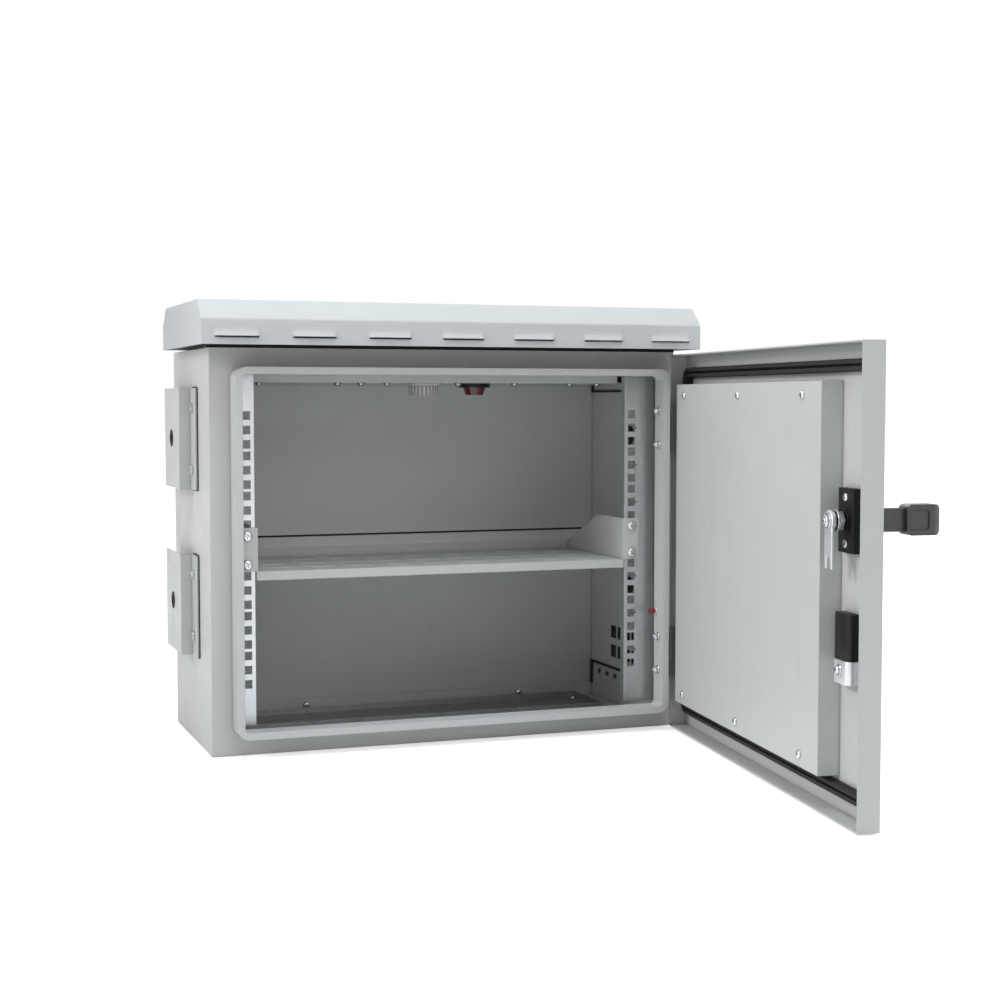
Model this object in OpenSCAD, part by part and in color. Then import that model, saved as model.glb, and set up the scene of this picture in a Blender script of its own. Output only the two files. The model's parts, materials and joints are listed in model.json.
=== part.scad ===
// Outdoor wall and pole cabinet for standard rack equipment, shown with its door open.
// The front faces -Y, the body stands on Z = 0 and its middle is at X = 0, Y = 0.

/* [Body] */
// Distance from a column of rack holes to the outside of the side wall
rack_side = 42.45; // [40:0.05:60]
// Depth of the body from the front plate to the back
body_d = 230; // [224:1:400]
// Height of the body up to the top panel under the roof
body_h = 449; // [445:1:600]
// Thickness of the painted sheet
sheet = 1.5; // [1:0.1:2]

/* [Door frame] */
// Width of the front plate on the lock side of the raised frame
rim_left = 23; // [16:0.5:26]
// Width of the front plate on the hinge side of the raised frame
rim_right = 11; // [9:0.5:14]
// Width of the frame's flange beyond the right wall
hinge_flange = 6; // [4:0.5:8]
// Lower edge of the raised frame
rim_low = 21; // [15:1:30]
// Height of the front plate above the raised frame
rim_up = 21; // [18:1:40]
// How far the frame stands out of the front plate
rim_d = 28; // [24:1:32]
// Width of the frame's front face
rim_face = 8; // [7.5:0.5:12]
// Corner radius of the frame
rim_r = 13; // [11:1:18]
// Gap left behind the frame's inner return
return_gap = 3; // [2:0.5:4]

/* [Roof] */
// How far the rain roof reaches past the side walls
roof_side = 17; // [10:0.5:40]
// Overhang of the roof in front of the body
roof_front = 50; // [44:1:80]
// Setback of the roof from the back of the body
roof_back = 28; // [0:1:40]
// Air gap between the top of the body and the roof's skirt
roof_gap = 2; // [1:0.5:6]
// Height of the roof's upright front and back bands
roof_band = 27.5; // [24:0.5:40]
// Rise of the sloped strips between the bands and the flat top
roof_rise = 21; // [12:1:30]
// Run of the sloped strips
roof_run = 22; // [12:1:30]
// Number of louvres pressed in the front band
louvre_count = 7; // [3:1:8]
// Length of each louvre
louvre_l = 50.5; // [30:0.5:56]
// Distance from the roof's end to the middle of the outermost louvre
louvre_edge = 38.5; // [34:0.5:60]
// Height of each louvre
louvre_h = 9.5; // [7:0.5:12]
// How far a louvre stands out
louvre_out = 3.5; // [3:0.5:8]
// Lower edge of the louvres above the skirt's edge
louvre_up = 9; // [6:0.5:12]

/* [Rack rails] */
// Distance between the two columns of square holes
rack_span = 465.1; // [465.1]
// Height of one rack unit
rack_unit = 44.45; // [44.45]
// Side of a square rail hole
rack_hole = 9.5; // [9:0.1:10]
// Height of the lowest hole's middle above the rails' lower end
rack_start = 46.5; // [40:0.5:54]
// Setback of the rails behind the front plate
rail_back = 12; // [10:0.5:40]
// Thickness of the rail's steel
rail_t = 2; // [1.5:0.1:2.5]
// Distance from a column of holes to the rail's inner edge
rail_lap = 9.05; // [8:0.05:10]
// Gap between the rails' front faces and the side walls
rail_gap = 11.5; // [8:0.5:20]
// Depth of the rails' side legs
rail_leg = 33; // [26:1:40]
// Width of the tabs that hold the rails to the side walls
rail_tab = 25; // [20:1:30]
// Height of the rails' lower end above the frame's lower edge
rail_foot = 9; // [4:1:20]
// Gap between the rails' upper end and the frame's upper edge
rail_head = 4; // [2:0.5:10]

/* [Shelf] */
// Distance from the ears' lower holes down to the shelf's top face
shelf_drop = 7.85; // [7:0.05:9]
// Depth of the shelf
shelf_d = 172; // [140:1:190]
// Height of the lip along the shelf's front edge
shelf_lip = 10; // [6:0.5:16]
// Height of the low wall along the shelf's back edge
shelf_wall = 11; // [6:0.5:16]
// Height of the shelf's side plates and ears
shelf_ear = 49; // [48:0.5:52]
// Length of the side plates' full-height part
shelf_cheek = 75; // [50:1:110]
// Width of the ears in front of the rails
shelf_ear_w = 20; // [18:0.5:22]

/* [Brackets] */
// Height of each mounting bracket
bracket_h = 115; // [90:1:130]
// Distance between the upper and lower brackets
bracket_span = 190; // [150:1:200]
// Distance from the top of the body down to the upper brackets' middle
bracket_up = 101; // [85:1:130]
// Distance of a bracket's screws from its middle
bracket_screw = 35; // [25:1:40]
// Distance from the front plate to the brackets' front edge
bracket_front = 70; // [60:1:72]
// Width of the flange that lies on the side wall
bracket_foot = 33; // [28:1:38]
// How far the bracket's outer plate stands off its foot
bracket_off = 15; // [12:0.5:20]
// Width of the bracket's outer plate
bracket_plate = 100; // [80:1:110]
// Diameter of the hole in the outer plate
bracket_hole = 18; // [12:0.5:20]
// Thickness of the bracket's steel
bracket_t = 2; // [1.5:0.1:3]
// Thickness of the rubber pads under the brackets
pad_t = 1; // [0.8:0.1:2]

/* [Door] */
// Angle by which the door stands open
door_open = 82.7; // [82.7]
// How far the door reaches past the frame at its sides
door_over = 10.8; // [10.8:0.1:14]
// How far the door reaches down past the frame
door_down = 19.5; // [12:0.5:20]
// How far the door reaches up past the frame
door_up = 17.5; // [12:0.5:20]
// Depth of the door's folded edges
door_t = 22; // [20:0.5:23]
// Distance from the front plate to the closed door's folded edges
door_gap = 17; // [15:0.5:18]
// Distance of the hinge axis from the side of the frame
hinge_side = 5.2; // [5:0.1:5.4]
// Distance of the hinge axis in front of the front plate
hinge_y = 12; // [11.5:0.1:12.5]
// Length of each hinge
hinge_l = 60; // [50:1:70]
// Distance from the frame's upper edge down to the upper hinge's middle
hinge_top = 69; // [50:1:90]
// Distance from the frame's lower edge up to the lower hinge's middle
hinge_foot = 70; // [50:1:90]
// Outer diameter of the hinge knuckles
knuckle_d = 6.4; // [6:0.1:6.4]
// Diameter of the hinge pins
hinge_pin_d = 3.6; // [3:0.1:4]
// Play of a turning pin in its bore, on the radius
pin_play = 0.05; // [0.02:0.01:0.1]

/* [Inner cover] */
// Distance of the cover from the door's hinge edge
cover_from = 28; // [27:1:40]
// Distance of the cover from the door's free edge
cover_free = 86; // [86:1:120]
// Distance of the cover above the frame's lower edge
cover_down = 15; // [14:1:40]
// Distance of the cover below the frame's upper edge
cover_up = 18; // [14:1:40]
// How far the cover stands past the door's folded edges
cover_out = 2; // [0:0.5:4]

/* [Lock] */
// Distance of the lock's axis from the door's free edge
lock_side = 60; // [60:0.5:64]
// Height of the lock's axis above the middle of the frame
lock_up = 56; // [40:0.5:70]
// Width of the lock's inner housing
lock_w = 34; // [30:1:36]
// Height of the lock's inner housing
lock_h = 60; // [54:1:64]
// Thickness of the lock's inner housing
lock_t = 8; // [6:0.5:10]
// Distance from the lock's axis down to the lower clamp
clamp_drop = 110; // [90:1:120]
// Height of the clamp's block
clamp_h = 44; // [36:1:50]
// Thickness of the clamp's block
clamp_t = 12; // [9:0.5:14]
// Height of the key cylinder below the spindle
key_drop = 135; // [125:1:142]
// Diameter of the key cylinder
key_d = 15; // [12:0.5:18]
// Diameter of the spindle
spindle_d = 12; // [10:0.5:12]
// Reach of the cam lever
cam_l = 45; // [38:0.5:46]
// Width of the cam lever
cam_w = 18; // [14:0.5:20]
// Thickness of the cam lever
cam_t = 3; // [2:0.5:4]
// Length of the outer base plate
base_l = 196; // [180:1:210]
// Width of the outer base plate
base_w = 34; // [32:1:38]
// Thickness of the outer base plate
base_t = 6; // [4:0.5:7]
// Distance from the door's outer face to the handle's pin
handle_out = 16.4; // [16.4:0.1:18]
// Width of the handle's arm
arm_w = 22; // [18:0.5:23]
// Thickness of the handle's arm
arm_t = 8; // [7:0.5:10]
// Length of the handle from its pin to its end
handle_l = 65; // [55:1:80]
// Length of the handle's grip
grip_l = 34; // [28:1:40]
// Width of the handle's grip
grip_w = 29; // [24:0.5:34]
// Thickness of the handle's grip
grip_t = 19; // [16:0.5:20]

/* [Fittings] */
// Distance from the frame's upper edge down to the ceiling panel
ceiling_drop = 16; // [14:0.5:20]
// Diameter of the ribbed breather cap
cap_d = 36; // [30:1:42]
// Diameter of the lamp's base
lamp_d = 38; // [32:1:44]
// Width of the cable opening in the floor
gland_w = 452; // [200:1:456]
// Depth of the cable opening in the floor
gland_d = 78; // [60:1:80]
// Side of a vent hole in the right wall
vent_side = 16; // [12:0.5:17]

/* [Hidden] */
$fn = 48;
front_y = -body_d/2;
back_y = body_d/2;
body_w = rack_span + 2*rack_side;
wall_x = body_w/2 - sheet;
rim_x0 = -body_w/2 + rim_left;
rim_x1 = body_w/2 - rim_right;
rim_w = rim_x1 - rim_x0;
rim_x = (rim_x0 + rim_x1)/2;
rim_h = body_h - rim_low - rim_up;
rim_mid = rim_low + rim_h/2;
rim_high = rim_low + rim_h;
ceiling_z = rim_high - ceiling_drop;
roof_w = body_w + 2*roof_side;
roof_low = body_h + roof_gap;
louvre_pitch = (roof_w - 2*louvre_edge)/(louvre_count - 1);
roof_y0 = front_y - roof_front;
roof_y1 = back_y - roof_back;
roof_mid = roof_low + roof_band;
roof_top = roof_mid + roof_rise;
roof_slope = sqrt(roof_rise*roof_rise + roof_run*roof_run);
// inner corners of the roof's folded sheet
roof_in_run = sheet*(roof_slope - roof_run)/roof_rise;
roof_in_rise = sheet*(roof_slope - roof_rise)/roof_run;
rail_in = rack_span/2 - rail_lap;
rail_out = wall_x - rail_gap;
rail_low = rim_low + rail_foot;
rail_high = rim_high - rail_head;
rail_screw_z = [rail_low + 40, (rail_low + rail_high)/2, rail_high - 40];
rack_low = rail_low + rack_start;
rack_count = floor((ceiling_z - rack_low - rack_hole)/rack_unit);
hole_z = [for (u = [0:rack_count - 1]) for (k = [0:2]) rack_low + u*rack_unit + k*15.875];
mid_unit = floor(rack_count/2);
shelf_holes = [rack_low + mid_unit*rack_unit, rack_low + mid_unit*rack_unit + 31.75];
shelf_z = shelf_holes[0] - shelf_drop;
door_w = rim_w + 2*door_over;
door_h = rim_h + door_down + door_up;
door_low = rim_low - door_down;
lip_y = front_y - door_gap;
face_y = lip_y - door_t;
skin_y = face_y + sheet;
door_x1 = rim_x1 + door_over;
door_x0 = rim_x0 - door_over;
gasket_clear = 0.4;
gasket_h = (front_y - rim_d) - skin_y - gasket_clear;
gasket_w = 12;
axis_x = rim_x1 + hinge_side;
axis_y = front_y - hinge_y;
hinge_high = rim_high - hinge_top;
hinge_low = rim_low + hinge_foot;
hinge_screw_y = axis_y - 2;
hinge_screw_z = hinge_l*0.33;
lock_x = door_x0 + lock_side;
lock_z = rim_mid + lock_up;
lock_screw = lock_h/2 - 8.5;
clamp_z = lock_z - clamp_drop;
clamp_low = clamp_z - clamp_h/2 + 2;
clamp_screw_z = clamp_low - 9;
band_t = 2;
band_h = 22;
cover_w = door_w - cover_from - cover_free;
cover_low = rim_low + cover_down;
cover_h = rim_h - cover_down - cover_up;
cover_x1 = door_x1 - cover_from;
cover_screw_x = [27, cover_w/2 - 9, cover_w - 45];
cover_screw_z = [12, cover_h - 13];
cover_y = lip_y + cover_out;
handle_y = face_y - handle_out;
grip_y = handle_y - handle_l;
base_face_y = face_y - base_t;
cam_y = lip_y + 2.5;
boss_t = 3;
boss_gap = 0.3;
lug_w = 10;
lug_play = 0.3;
bracket_high = body_h - bracket_up;
bracket_z = [bracket_high, bracket_high - bracket_span];
ceiling_front = front_y + 30;
gland_y = back_y - 60;
vent_y0 = front_y + 92.3;
vent_pitch_y = 21.4;
vent_pitch_z = 24.8;
vent_z0 = rim_low + 48;
plug_y = front_y + 107;
screw_y = front_y + bracket_front + bracket_foot/2 + 2;
floor_flange = 18;
support_h = roof_top - sheet - body_h;
support_x = wall_x - 73.5;
support_l = body_d - 100;
support_w = 20;
earth_z = rim_low + 120;
earth_y = front_y - 9;
seal_high = ceiling_z - 10;
seal_low = rim_low + 25;
seam_z = rim_mid - 2.5;
side_screw_y = [back_y - 80, back_y - 55, back_y - 30];
side_screw_z = rim_low + 16;
ceiling_y = front_y + 60;
ceiling_notch = front_y + rail_back + rail_leg + rail_tab + 3;
ceiling_half = rail_in - 2;
hanging_y = front_y + 100;
ceiling_xs = [for (k = [-0.76, -0.424, -0.322, -0.208, 0.11, 0.369, 0.629, 0.76]) k*wall_x];
floor_xs = [-0.42*wall_x, 0.62*wall_x];
lamp_x = cap_d/2 + lamp_d/2 + 27;

// a flat outline in X and Z made into a slab between two depths
module slab(y0, y1) {
    translate([0, y1, 0])
        rotate([90, 0, 0])
            linear_extrude(y1 - y0)
                children();
}

// a flat outline in Y and Z made into a bar between two sides
module bar(x0, x1) {
    translate([x0, 0, 0])
        rotate([90, 0, 90])
            linear_extrude(x1 - x0)
                children();
}

// a rectangle with round corners
module round_rect(w, h, r) {
    square([w - 2*r, h], center = true);
    square([w, h - 2*r], center = true);
    for (i = [-1, 1])
        for (j = [-1, 1])
            translate([i*(w/2 - r), j*(h/2 - r)])
                circle(r);
}

// the frame's outline, grown or shrunk
module rim_outline(grow) {
    translate([rim_x, rim_mid])
        round_rect(rim_w + 2*grow, rim_h + 2*grow, rim_r + grow);
}

module rod_x(x0, x1, y, z, d) {
    translate([x0, y, z])
        rotate([0, 90, 0])
            cylinder(h = x1 - x0, d = d);
}

module rod_y(x, y0, y1, z, d) {
    translate([x, y0, z])
        rotate([-90, 0, 0])
            cylinder(h = y1 - y0, d = d);
}

module rod_z(x, y, z0, z1, d) {
    translate([x, y, z0])
        cylinder(h = z1 - z0, d = d);
}

// the closed door's pieces, turned to the open position
module on_door() {
    translate([axis_x, axis_y, 0])
        rotate([0, 0, door_open])
            translate([-axis_x, -axis_y, 0])
                children();
}

// body

module front_frame() {
    color([0.78, 0.78, 0.76])
    difference() {
        union() {
            slab(front_y, front_y + sheet)
                difference() {
                    translate([-body_w/2, 0])
                        square([body_w + hinge_flange, body_h]);
                    rim_outline(-sheet);
                }
            slab(front_y - rim_d, front_y + sheet)
                difference() {
                    rim_outline(0);
                    rim_outline(-sheet);
                }
            slab(front_y - rim_d, front_y - rim_d + sheet)
                difference() {
                    rim_outline(0);
                    rim_outline(-rim_face);
                }
            slab(front_y - rim_d, front_y - return_gap)
                difference() {
                    rim_outline(sheet - rim_face);
                    rim_outline(-rim_face);
                }
        }
        // slot that takes the cam lever
        translate([rim_x0 + rim_face - 3*sheet, cam_y - 3, lock_z - cam_w/2 - 18])
            cube([4*sheet, cam_t + 6, cam_w + 22]);
        for (z = [hinge_high, hinge_low])
            for (k = [-1, 1])
                rod_x(rim_x1 - rim_face - 1, rim_x1 + 1, hinge_screw_y, z + k*hinge_screw_z, 4.4);
        rod_x(rim_x1 - rim_face - 1, rim_x1 - sheet - 1, earth_y, earth_z, 4.2);
    }
}

module left_wall() {
    color([0.78, 0.78, 0.76])
    difference() {
        translate([-body_w/2, front_y + sheet, 0])
            cube([sheet, body_d - sheet, body_h]);
        for (z = bracket_z)
            for (k = [-1, 1])
                rod_x(-body_w/2 - 1, -wall_x + 1, screw_y, z + bracket_screw*k, 6.4);
    }
}

module right_wall() {
    color([0.78, 0.78, 0.76])
    difference() {
        translate([wall_x, front_y + sheet, 0])
            cube([sheet, body_d - sheet, body_h]);
        for (z = bracket_z)
            for (k = [-1, 1])
                rod_x(wall_x - 1, body_w/2 + 1, screw_y, z + bracket_screw*k, 6.4);
        for (i = [0:3])
            for (k = [0:1])
                translate([wall_x - 1, vent_y0 + i*vent_pitch_y, vent_z0 + k*vent_pitch_z])
                    translate([0, -vent_side/2, -vent_side/2])
                    cube([sheet + 2, vent_side, vent_side]);
        for (z = bracket_z)
            rod_x(wall_x - 1, body_w/2 + 1, plug_y, z, 16.4);
        for (y = side_screw_y)
            rod_x(wall_x - 1, body_w/2 + 1, y, side_screw_z, 3.4);
    }
}

module back_panel() {
    color([0.74, 0.74, 0.73])
    difference() {
        translate([-wall_x, back_y - sheet, 0])
            cube([2*wall_x, sheet, body_h]);
        // seam across the middle
        translate([-wall_x - 1, back_y - sheet - 1, seam_z])
            cube([2*wall_x + 2, 1.9, 2.4]);
    }
}

module top_panel() {
    color([0.76, 0.76, 0.75])
    difference() {
        translate([-wall_x, front_y + sheet, body_h - sheet])
            cube([2*wall_x, body_d - 2*sheet, sheet]);
        // air slots under the roof
        for (i = [-4:4])
            translate([i*34 - 4, front_y + 70, body_h - sheet - 1])
                cube([8, 70, sheet + 2]);
    }
}

module bottom_panel() {
    color([0.74, 0.74, 0.73])
    difference() {
        union() {
            translate([-wall_x, front_y + sheet, 0])
                cube([2*wall_x, body_d - 2*sheet, sheet]);
            translate([-wall_x, back_y - 2*sheet, 0])
                cube([2*wall_x, sheet, floor_flange]);
        }
        translate([-gland_w/2, gland_y - gland_d/2, -1])
            cube([gland_w, gland_d, sheet + 2]);
        for (x = floor_xs)
            rod_y(x, back_y - 2*sheet - 1, back_y - sheet, 10, 4.4);
        for (i = [-1, 1])
            for (j = [-1, 1])
                rod_z(i*(gland_w/2 + 9), gland_y + j*(gland_d/2 - 10), -1, sheet + 1, 4.4);
    }
}

module ceiling_panel() {
    color([0.72, 0.72, 0.71])
    difference() {
        union() {
            translate([-wall_x, ceiling_notch, ceiling_z])
                cube([2*wall_x, back_y - sheet - ceiling_notch, sheet]);
            translate([-ceiling_half, ceiling_front, ceiling_z])
                cube([2*ceiling_half, ceiling_notch - ceiling_front, sheet]);
            translate([-ceiling_half, ceiling_front, ceiling_z])
                cube([2*ceiling_half, sheet, 24]);
            for (s = [-1, 1])
                translate([s*(wall_x - sheet/2) - sheet/2, ceiling_notch, ceiling_z])
                    cube([sheet, back_y - sheet - ceiling_notch, 20]);
        }
        for (x = ceiling_xs)
            rod_z(x, ceiling_y, ceiling_z - 1, ceiling_z + sheet + 1, 4.4);
        rod_z(0, hanging_y, ceiling_z - 1, ceiling_z + sheet + 1, 12);
        rod_z(lamp_x, hanging_y, ceiling_z - 1, ceiling_z + sheet + 1, 12);
    }
}

// roof

module roof_outer() {
    polygon([[roof_y0, roof_low], [roof_y0, roof_mid], [roof_y0 + roof_run, roof_top],
        [roof_y1 - roof_run, roof_top], [roof_y1, roof_mid], [roof_y1, roof_low]]);
}

module roof_inner() {
    polygon([[roof_y0 + sheet, roof_low - 5], [roof_y0 + sheet, roof_mid - roof_in_rise],
        [roof_y0 + roof_run + roof_in_run, roof_top - sheet], [roof_y1 - roof_run - roof_in_run, roof_top - sheet],
        [roof_y1 - sheet, roof_mid - roof_in_rise], [roof_y1 - sheet, roof_low - 5]]);
}

module louvre_hood() {
    z0 = roof_low + louvre_up;
    polygon([[roof_y0, z0], [roof_y0 - louvre_out, z0], [roof_y0 - louvre_out, z0 + 1],
        [roof_y0 - 0.57*louvre_out, z0 + 0.3*louvre_h], [roof_y0 - 0.33*louvre_out, z0 + 0.5*louvre_h],
        [roof_y0 - 0.15*louvre_out, z0 + 0.7*louvre_h], [roof_y0, z0 + louvre_h]]);
}

module louvre_mouth() {
    z0 = roof_low + louvre_up;
    polygon([[roof_y0 - louvre_out + 1.2, z0 - 2.2], [roof_y0 + sheet + 1, z0 - 2.2],
        [roof_y0 + sheet + 1, z0 + 4], [roof_y0, z0 + 4], [roof_y0 - louvre_out + 1.2, z0 + 0.5]]);
}

// corner taken off each end of a louvre
module louvre_end(s) {
    z0 = roof_low + louvre_up;
    z1 = z0 + louvre_h + 1;
    slab(roof_y0 - louvre_out - 1, roof_y0)
        polygon([[s*louvre_l/2, z0 + 1.5], [s*(louvre_l/2 + 1), z0 + 1.5], [s*(louvre_l/2 + 1), z1],
            [s*(louvre_l/2 - 4.5), z1]]);
}

module roof() {
    color([0.82, 0.83, 0.83])
    difference() {
        union() {
            difference() {
                bar(-roof_w/2, roof_w/2)
                    roof_outer();
                bar(-roof_w/2 + sheet, roof_w/2 - sheet)
                    roof_inner();
            }
            for (i = [0:louvre_count - 1])
                translate([(i - (louvre_count - 1)/2)*louvre_pitch, 0, 0])
                    difference() {
                        bar(-louvre_l/2, louvre_l/2)
                            louvre_hood();
                        for (s = [-1, 1])
                            louvre_end(s);
                    }
        }
        for (i = [0:louvre_count - 1])
            translate([(i - (louvre_count - 1)/2)*louvre_pitch, 0, 0])
                bar(-louvre_l/2 + 6, louvre_l/2 - 6)
                    louvre_mouth();
    }
}

module roof_support(s) {
    color([0.70, 0.71, 0.72])
    translate([0, roof_y0 + roof_front + 30, 0])
    union() {
        translate([s*support_x - sheet/2, 0, body_h])
            cube([sheet, support_l, support_h]);
        translate([s*support_x - (s > 0 ? sheet/2 : support_w - sheet/2), 0, body_h])
            cube([support_w, support_l, sheet]);
        translate([s*support_x - (s > 0 ? sheet/2 : support_w - sheet/2), 0, body_h + support_h - sheet])
            cube([support_w, support_l, sheet]);
    }
}

module roof_support_left() {
    roof_support(-1);
}

module roof_support_right() {
    roof_support(1);
}

// rack rails

module rail(s) {
    y0 = front_y + rail_back;
    leg_x = rail_out - rail_t;
    color([0.80, 0.82, 0.84])
    mirror([s < 0 ? 1 : 0, 0, 0])
    difference() {
        translate([0, 0, rail_low])
            linear_extrude(rail_high - rail_low)
                union() {
                    translate([rail_in, y0])
                        square([rail_out - rail_in, rail_t]);
                    translate([rail_in, y0])
                        square([rail_t, 10]);
                    translate([leg_x, y0])
                        square([rail_t, rail_leg]);
                    translate([leg_x, y0 + rail_leg - rail_t])
                        square([wall_x - leg_x, rail_t]);
                    translate([wall_x - rail_t, y0 + rail_leg - rail_t])
                        square([rail_t, rail_tab]);
                }
        for (z = hole_z)
            translate([rack_span/2 - rack_hole/2, y0 - 1, z - rack_hole/2])
                cube([rack_hole, rail_t + 2, rack_hole]);
        // arrow notch beside the middle hole of each unit
        for (u = [0:rack_count - 1])
            slab(y0 - 1, y0 + rail_t + 1)
                translate([rack_span/2 + rack_hole/2 - 0.5, rack_low + u*rack_unit + 15.875])
                    polygon([[0, -2.5], [3.5, 0], [0, 2.5]]);
        for (z = rail_screw_z)
            rod_x(wall_x - rail_t - 1, wall_x + 1, y0 + rail_leg + rail_tab/2, z, 4.4);
    }
}

module left_rail() {
    rail(-1);
}

module right_rail() {
    rail(1);
}

module rail_screws() {
    y = front_y + rail_back + rail_leg + rail_tab/2;
    color([0.75, 0.76, 0.78])
    for (s = [-1, 1])
        for (z = rail_screw_z)
            mirror([s < 0 ? 1 : 0, 0, 0])
            union() {
                rod_x(wall_x - rail_t - 3, wall_x - rail_t, y, z, 8);
                rod_x(wall_x - rail_t - 0.5, wall_x, y, z, 4.2);
            }
}

// shelf

module shelf() {
    y0 = front_y + rail_back - sheet;
    half = rail_in - 1.5;
    color([0.79, 0.79, 0.78])
    difference() {
        union() {
            translate([-half, y0, shelf_z - sheet])
                cube([2*half, shelf_d, sheet]);
            translate([-half, y0, shelf_z - shelf_lip])
                cube([2*half, sheet, shelf_lip]);
            translate([-half, y0 + shelf_d - sheet, shelf_z - sheet])
                cube([2*half, sheet, shelf_wall + sheet]);
            for (s = [-1, 1]) {
                bar(s*(half - sheet/2) - sheet/2, s*(half - sheet/2) + sheet/2)
                    polygon([[y0, shelf_z - sheet], [y0, shelf_z + shelf_ear],
                        [y0 + shelf_cheek, shelf_z + shelf_ear], [y0 + shelf_d, shelf_z + shelf_wall],
                        [y0 + shelf_d, shelf_z - sheet]]);
                translate([s*(half - sheet + shelf_ear_w/2 + 0.5) - shelf_ear_w/2 - 0.5, y0, shelf_z])
                    cube([shelf_ear_w + 1, sheet, shelf_ear]);
            }
        }
        for (s = [-1, 1])
            for (z = shelf_holes)
                rod_y(s*rack_span/2, y0 - 1, y0 + sheet + 1, z, 6.6);
        // air slots in the plate
        for (i = [-4:4])
            for (j = [0:2])
                translate([i*46 - 15, y0 + 34 + j*44, shelf_z - sheet - 1])
                    cube([30, 7, sheet + 2]);
    }
}

module shelf_screws() {
    y0 = front_y + rail_back - sheet;
    color([0.82, 0.83, 0.85])
    for (s = [-1, 1])
        for (z = shelf_holes)
            difference() {
                union() {
                    rod_y(s*rack_span/2, y0 - 3.5, y0, z, 11);
                    rod_y(s*rack_span/2, y0 - 1, y0 + 13, z, 5.8);
                }
                translate([s*rack_span/2 - 3, y0 - 4, z - 0.6])
                    cube([6, 2, 1.2]);
                translate([s*rack_span/2 - 0.6, y0 - 4, z - 3])
                    cube([1.2, 2, 6]);
            }
}

module cage_nuts() {
    y0 = front_y + rail_back + rail_t;
    color([0.70, 0.72, 0.74])
    for (s = [-1, 1])
        for (z = shelf_holes)
            difference() {
                translate([s*rack_span/2 - 5.5, y0, z - 6.5])
                    cube([11, 6, 13]);
                rod_y(s*rack_span/2, y0 - 1, y0 + 7, z, 5.9);
            }
}

// mounting brackets

module bracket(s, z) {
    x0 = body_w/2 + pad_t;
    y0 = front_y + bracket_front;
    yw = y0 + bracket_foot;
    color([0.77, 0.77, 0.75])
    mirror([s < 0 ? 1 : 0, 0, 0])
    difference() {
        translate([0, 0, z - bracket_h/2])
            linear_extrude(bracket_h)
                union() {
                    translate([x0, y0])
                        square([bracket_t, bracket_foot]);
                    translate([x0, yw - bracket_t])
                        square([bracket_off, bracket_t]);
                    translate([x0 + bracket_off - bracket_t, yw - bracket_t])
                        square([bracket_t, bracket_plate]);
                }
        rod_x(x0 + bracket_off - bracket_t - 1, x0 + bracket_off + 1, yw + bracket_plate/2, z, bracket_hole);
        for (k = [-1, 1])
            rod_x(x0 - 1, x0 + bracket_t + 1, screw_y, z + bracket_screw*k, 6.4);
    }
}

module bracket_left_high() {
    bracket(-1, bracket_z[0]);
}

module bracket_left_low() {
    bracket(-1, bracket_z[1]);
}

module bracket_right_high() {
    bracket(1, bracket_z[0]);
}

module bracket_right_low() {
    bracket(1, bracket_z[1]);
}

module bracket_pads() {
    y = front_y + bracket_front + bracket_foot/2;
    color([0.05, 0.05, 0.05])
    for (s = [-1, 1])
        for (z = bracket_z)
            mirror([s < 0 ? 1 : 0, 0, 0])
            difference() {
                bar(body_w/2, body_w/2 + pad_t)
                    translate([y, z])
                        round_rect(bracket_foot + 3, bracket_h + 3, 4);
                for (k = [-1, 1])
                    rod_x(body_w/2 - 1, body_w/2 + pad_t + 1, screw_y, z + bracket_screw*k, 6.4);
            }
}

module bracket_screws() {
    x0 = body_w/2 + pad_t + bracket_t;
    color([0.74, 0.75, 0.76])
    for (s = [-1, 1])
        for (z = bracket_z)
            for (k = [-1, 1])
                mirror([s < 0 ? 1 : 0, 0, 0])
                difference() {
                    union() {
                        rod_x(x0, x0 + 3.5, screw_y, z + bracket_screw*k, 11);
                        rod_x(wall_x - 6, x0 + 1, screw_y, z + bracket_screw*k, 6);
                        rod_x(wall_x - 5, wall_x, screw_y, z + bracket_screw*k, 11);
                    }
                    translate([x0 + 2, screw_y - 0.7, z + bracket_screw*k - 3.5])
                        cube([3, 1.4, 7]);
                }
}

// floor, ceiling and wall fittings

module gland_plate() {
    color([0.73, 0.73, 0.72])
    difference() {
        union() {
            translate([-gland_w/2 - 18, gland_y - gland_d/2 - 8, sheet])
                cube([gland_w + 36, gland_d + 16, sheet]);
            translate([-gland_w/2 - 18, gland_y - gland_d/2 - 8, sheet])
                cube([gland_w + 36, sheet, 8]);
            translate([-gland_w/2 - 18, gland_y + gland_d/2 + 8 - sheet, sheet])
                cube([gland_w + 36, sheet, 8]);
            for (s = [-1, 1])
                translate([s*(gland_w/2 + 18 - sheet/2) - sheet/2, gland_y - gland_d/2 - 8, sheet])
                    cube([sheet, gland_d + 16, 8]);
        }
        for (i = [-1, 1])
            for (j = [-1, 1])
                rod_z(i*(gland_w/2 + 9), gland_y + j*(gland_d/2 - 10), 0, 3*sheet, 4.4);
    }
}

module gland_screws() {
    color([0.78, 0.79, 0.80])
    for (i = [-1, 1])
        for (j = [-1, 1])
            union() {
                rod_z(i*(gland_w/2 + 9), gland_y + j*(gland_d/2 - 10), 2*sheet, 2*sheet + 3, 8);
                rod_z(i*(gland_w/2 + 9), gland_y + j*(gland_d/2 - 10), 0.2, 2*sheet + 1, 4.2);
            }
}

module floor_screws() {
    color([0.78, 0.79, 0.80])
    for (x = floor_xs)
        union() {
            rod_y(x, back_y - 2*sheet - 3.5, back_y - 2*sheet, 10, 9);
            rod_y(x, back_y - 2*sheet - 1, back_y - sheet, 10, 4.2);
        }
}

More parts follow.
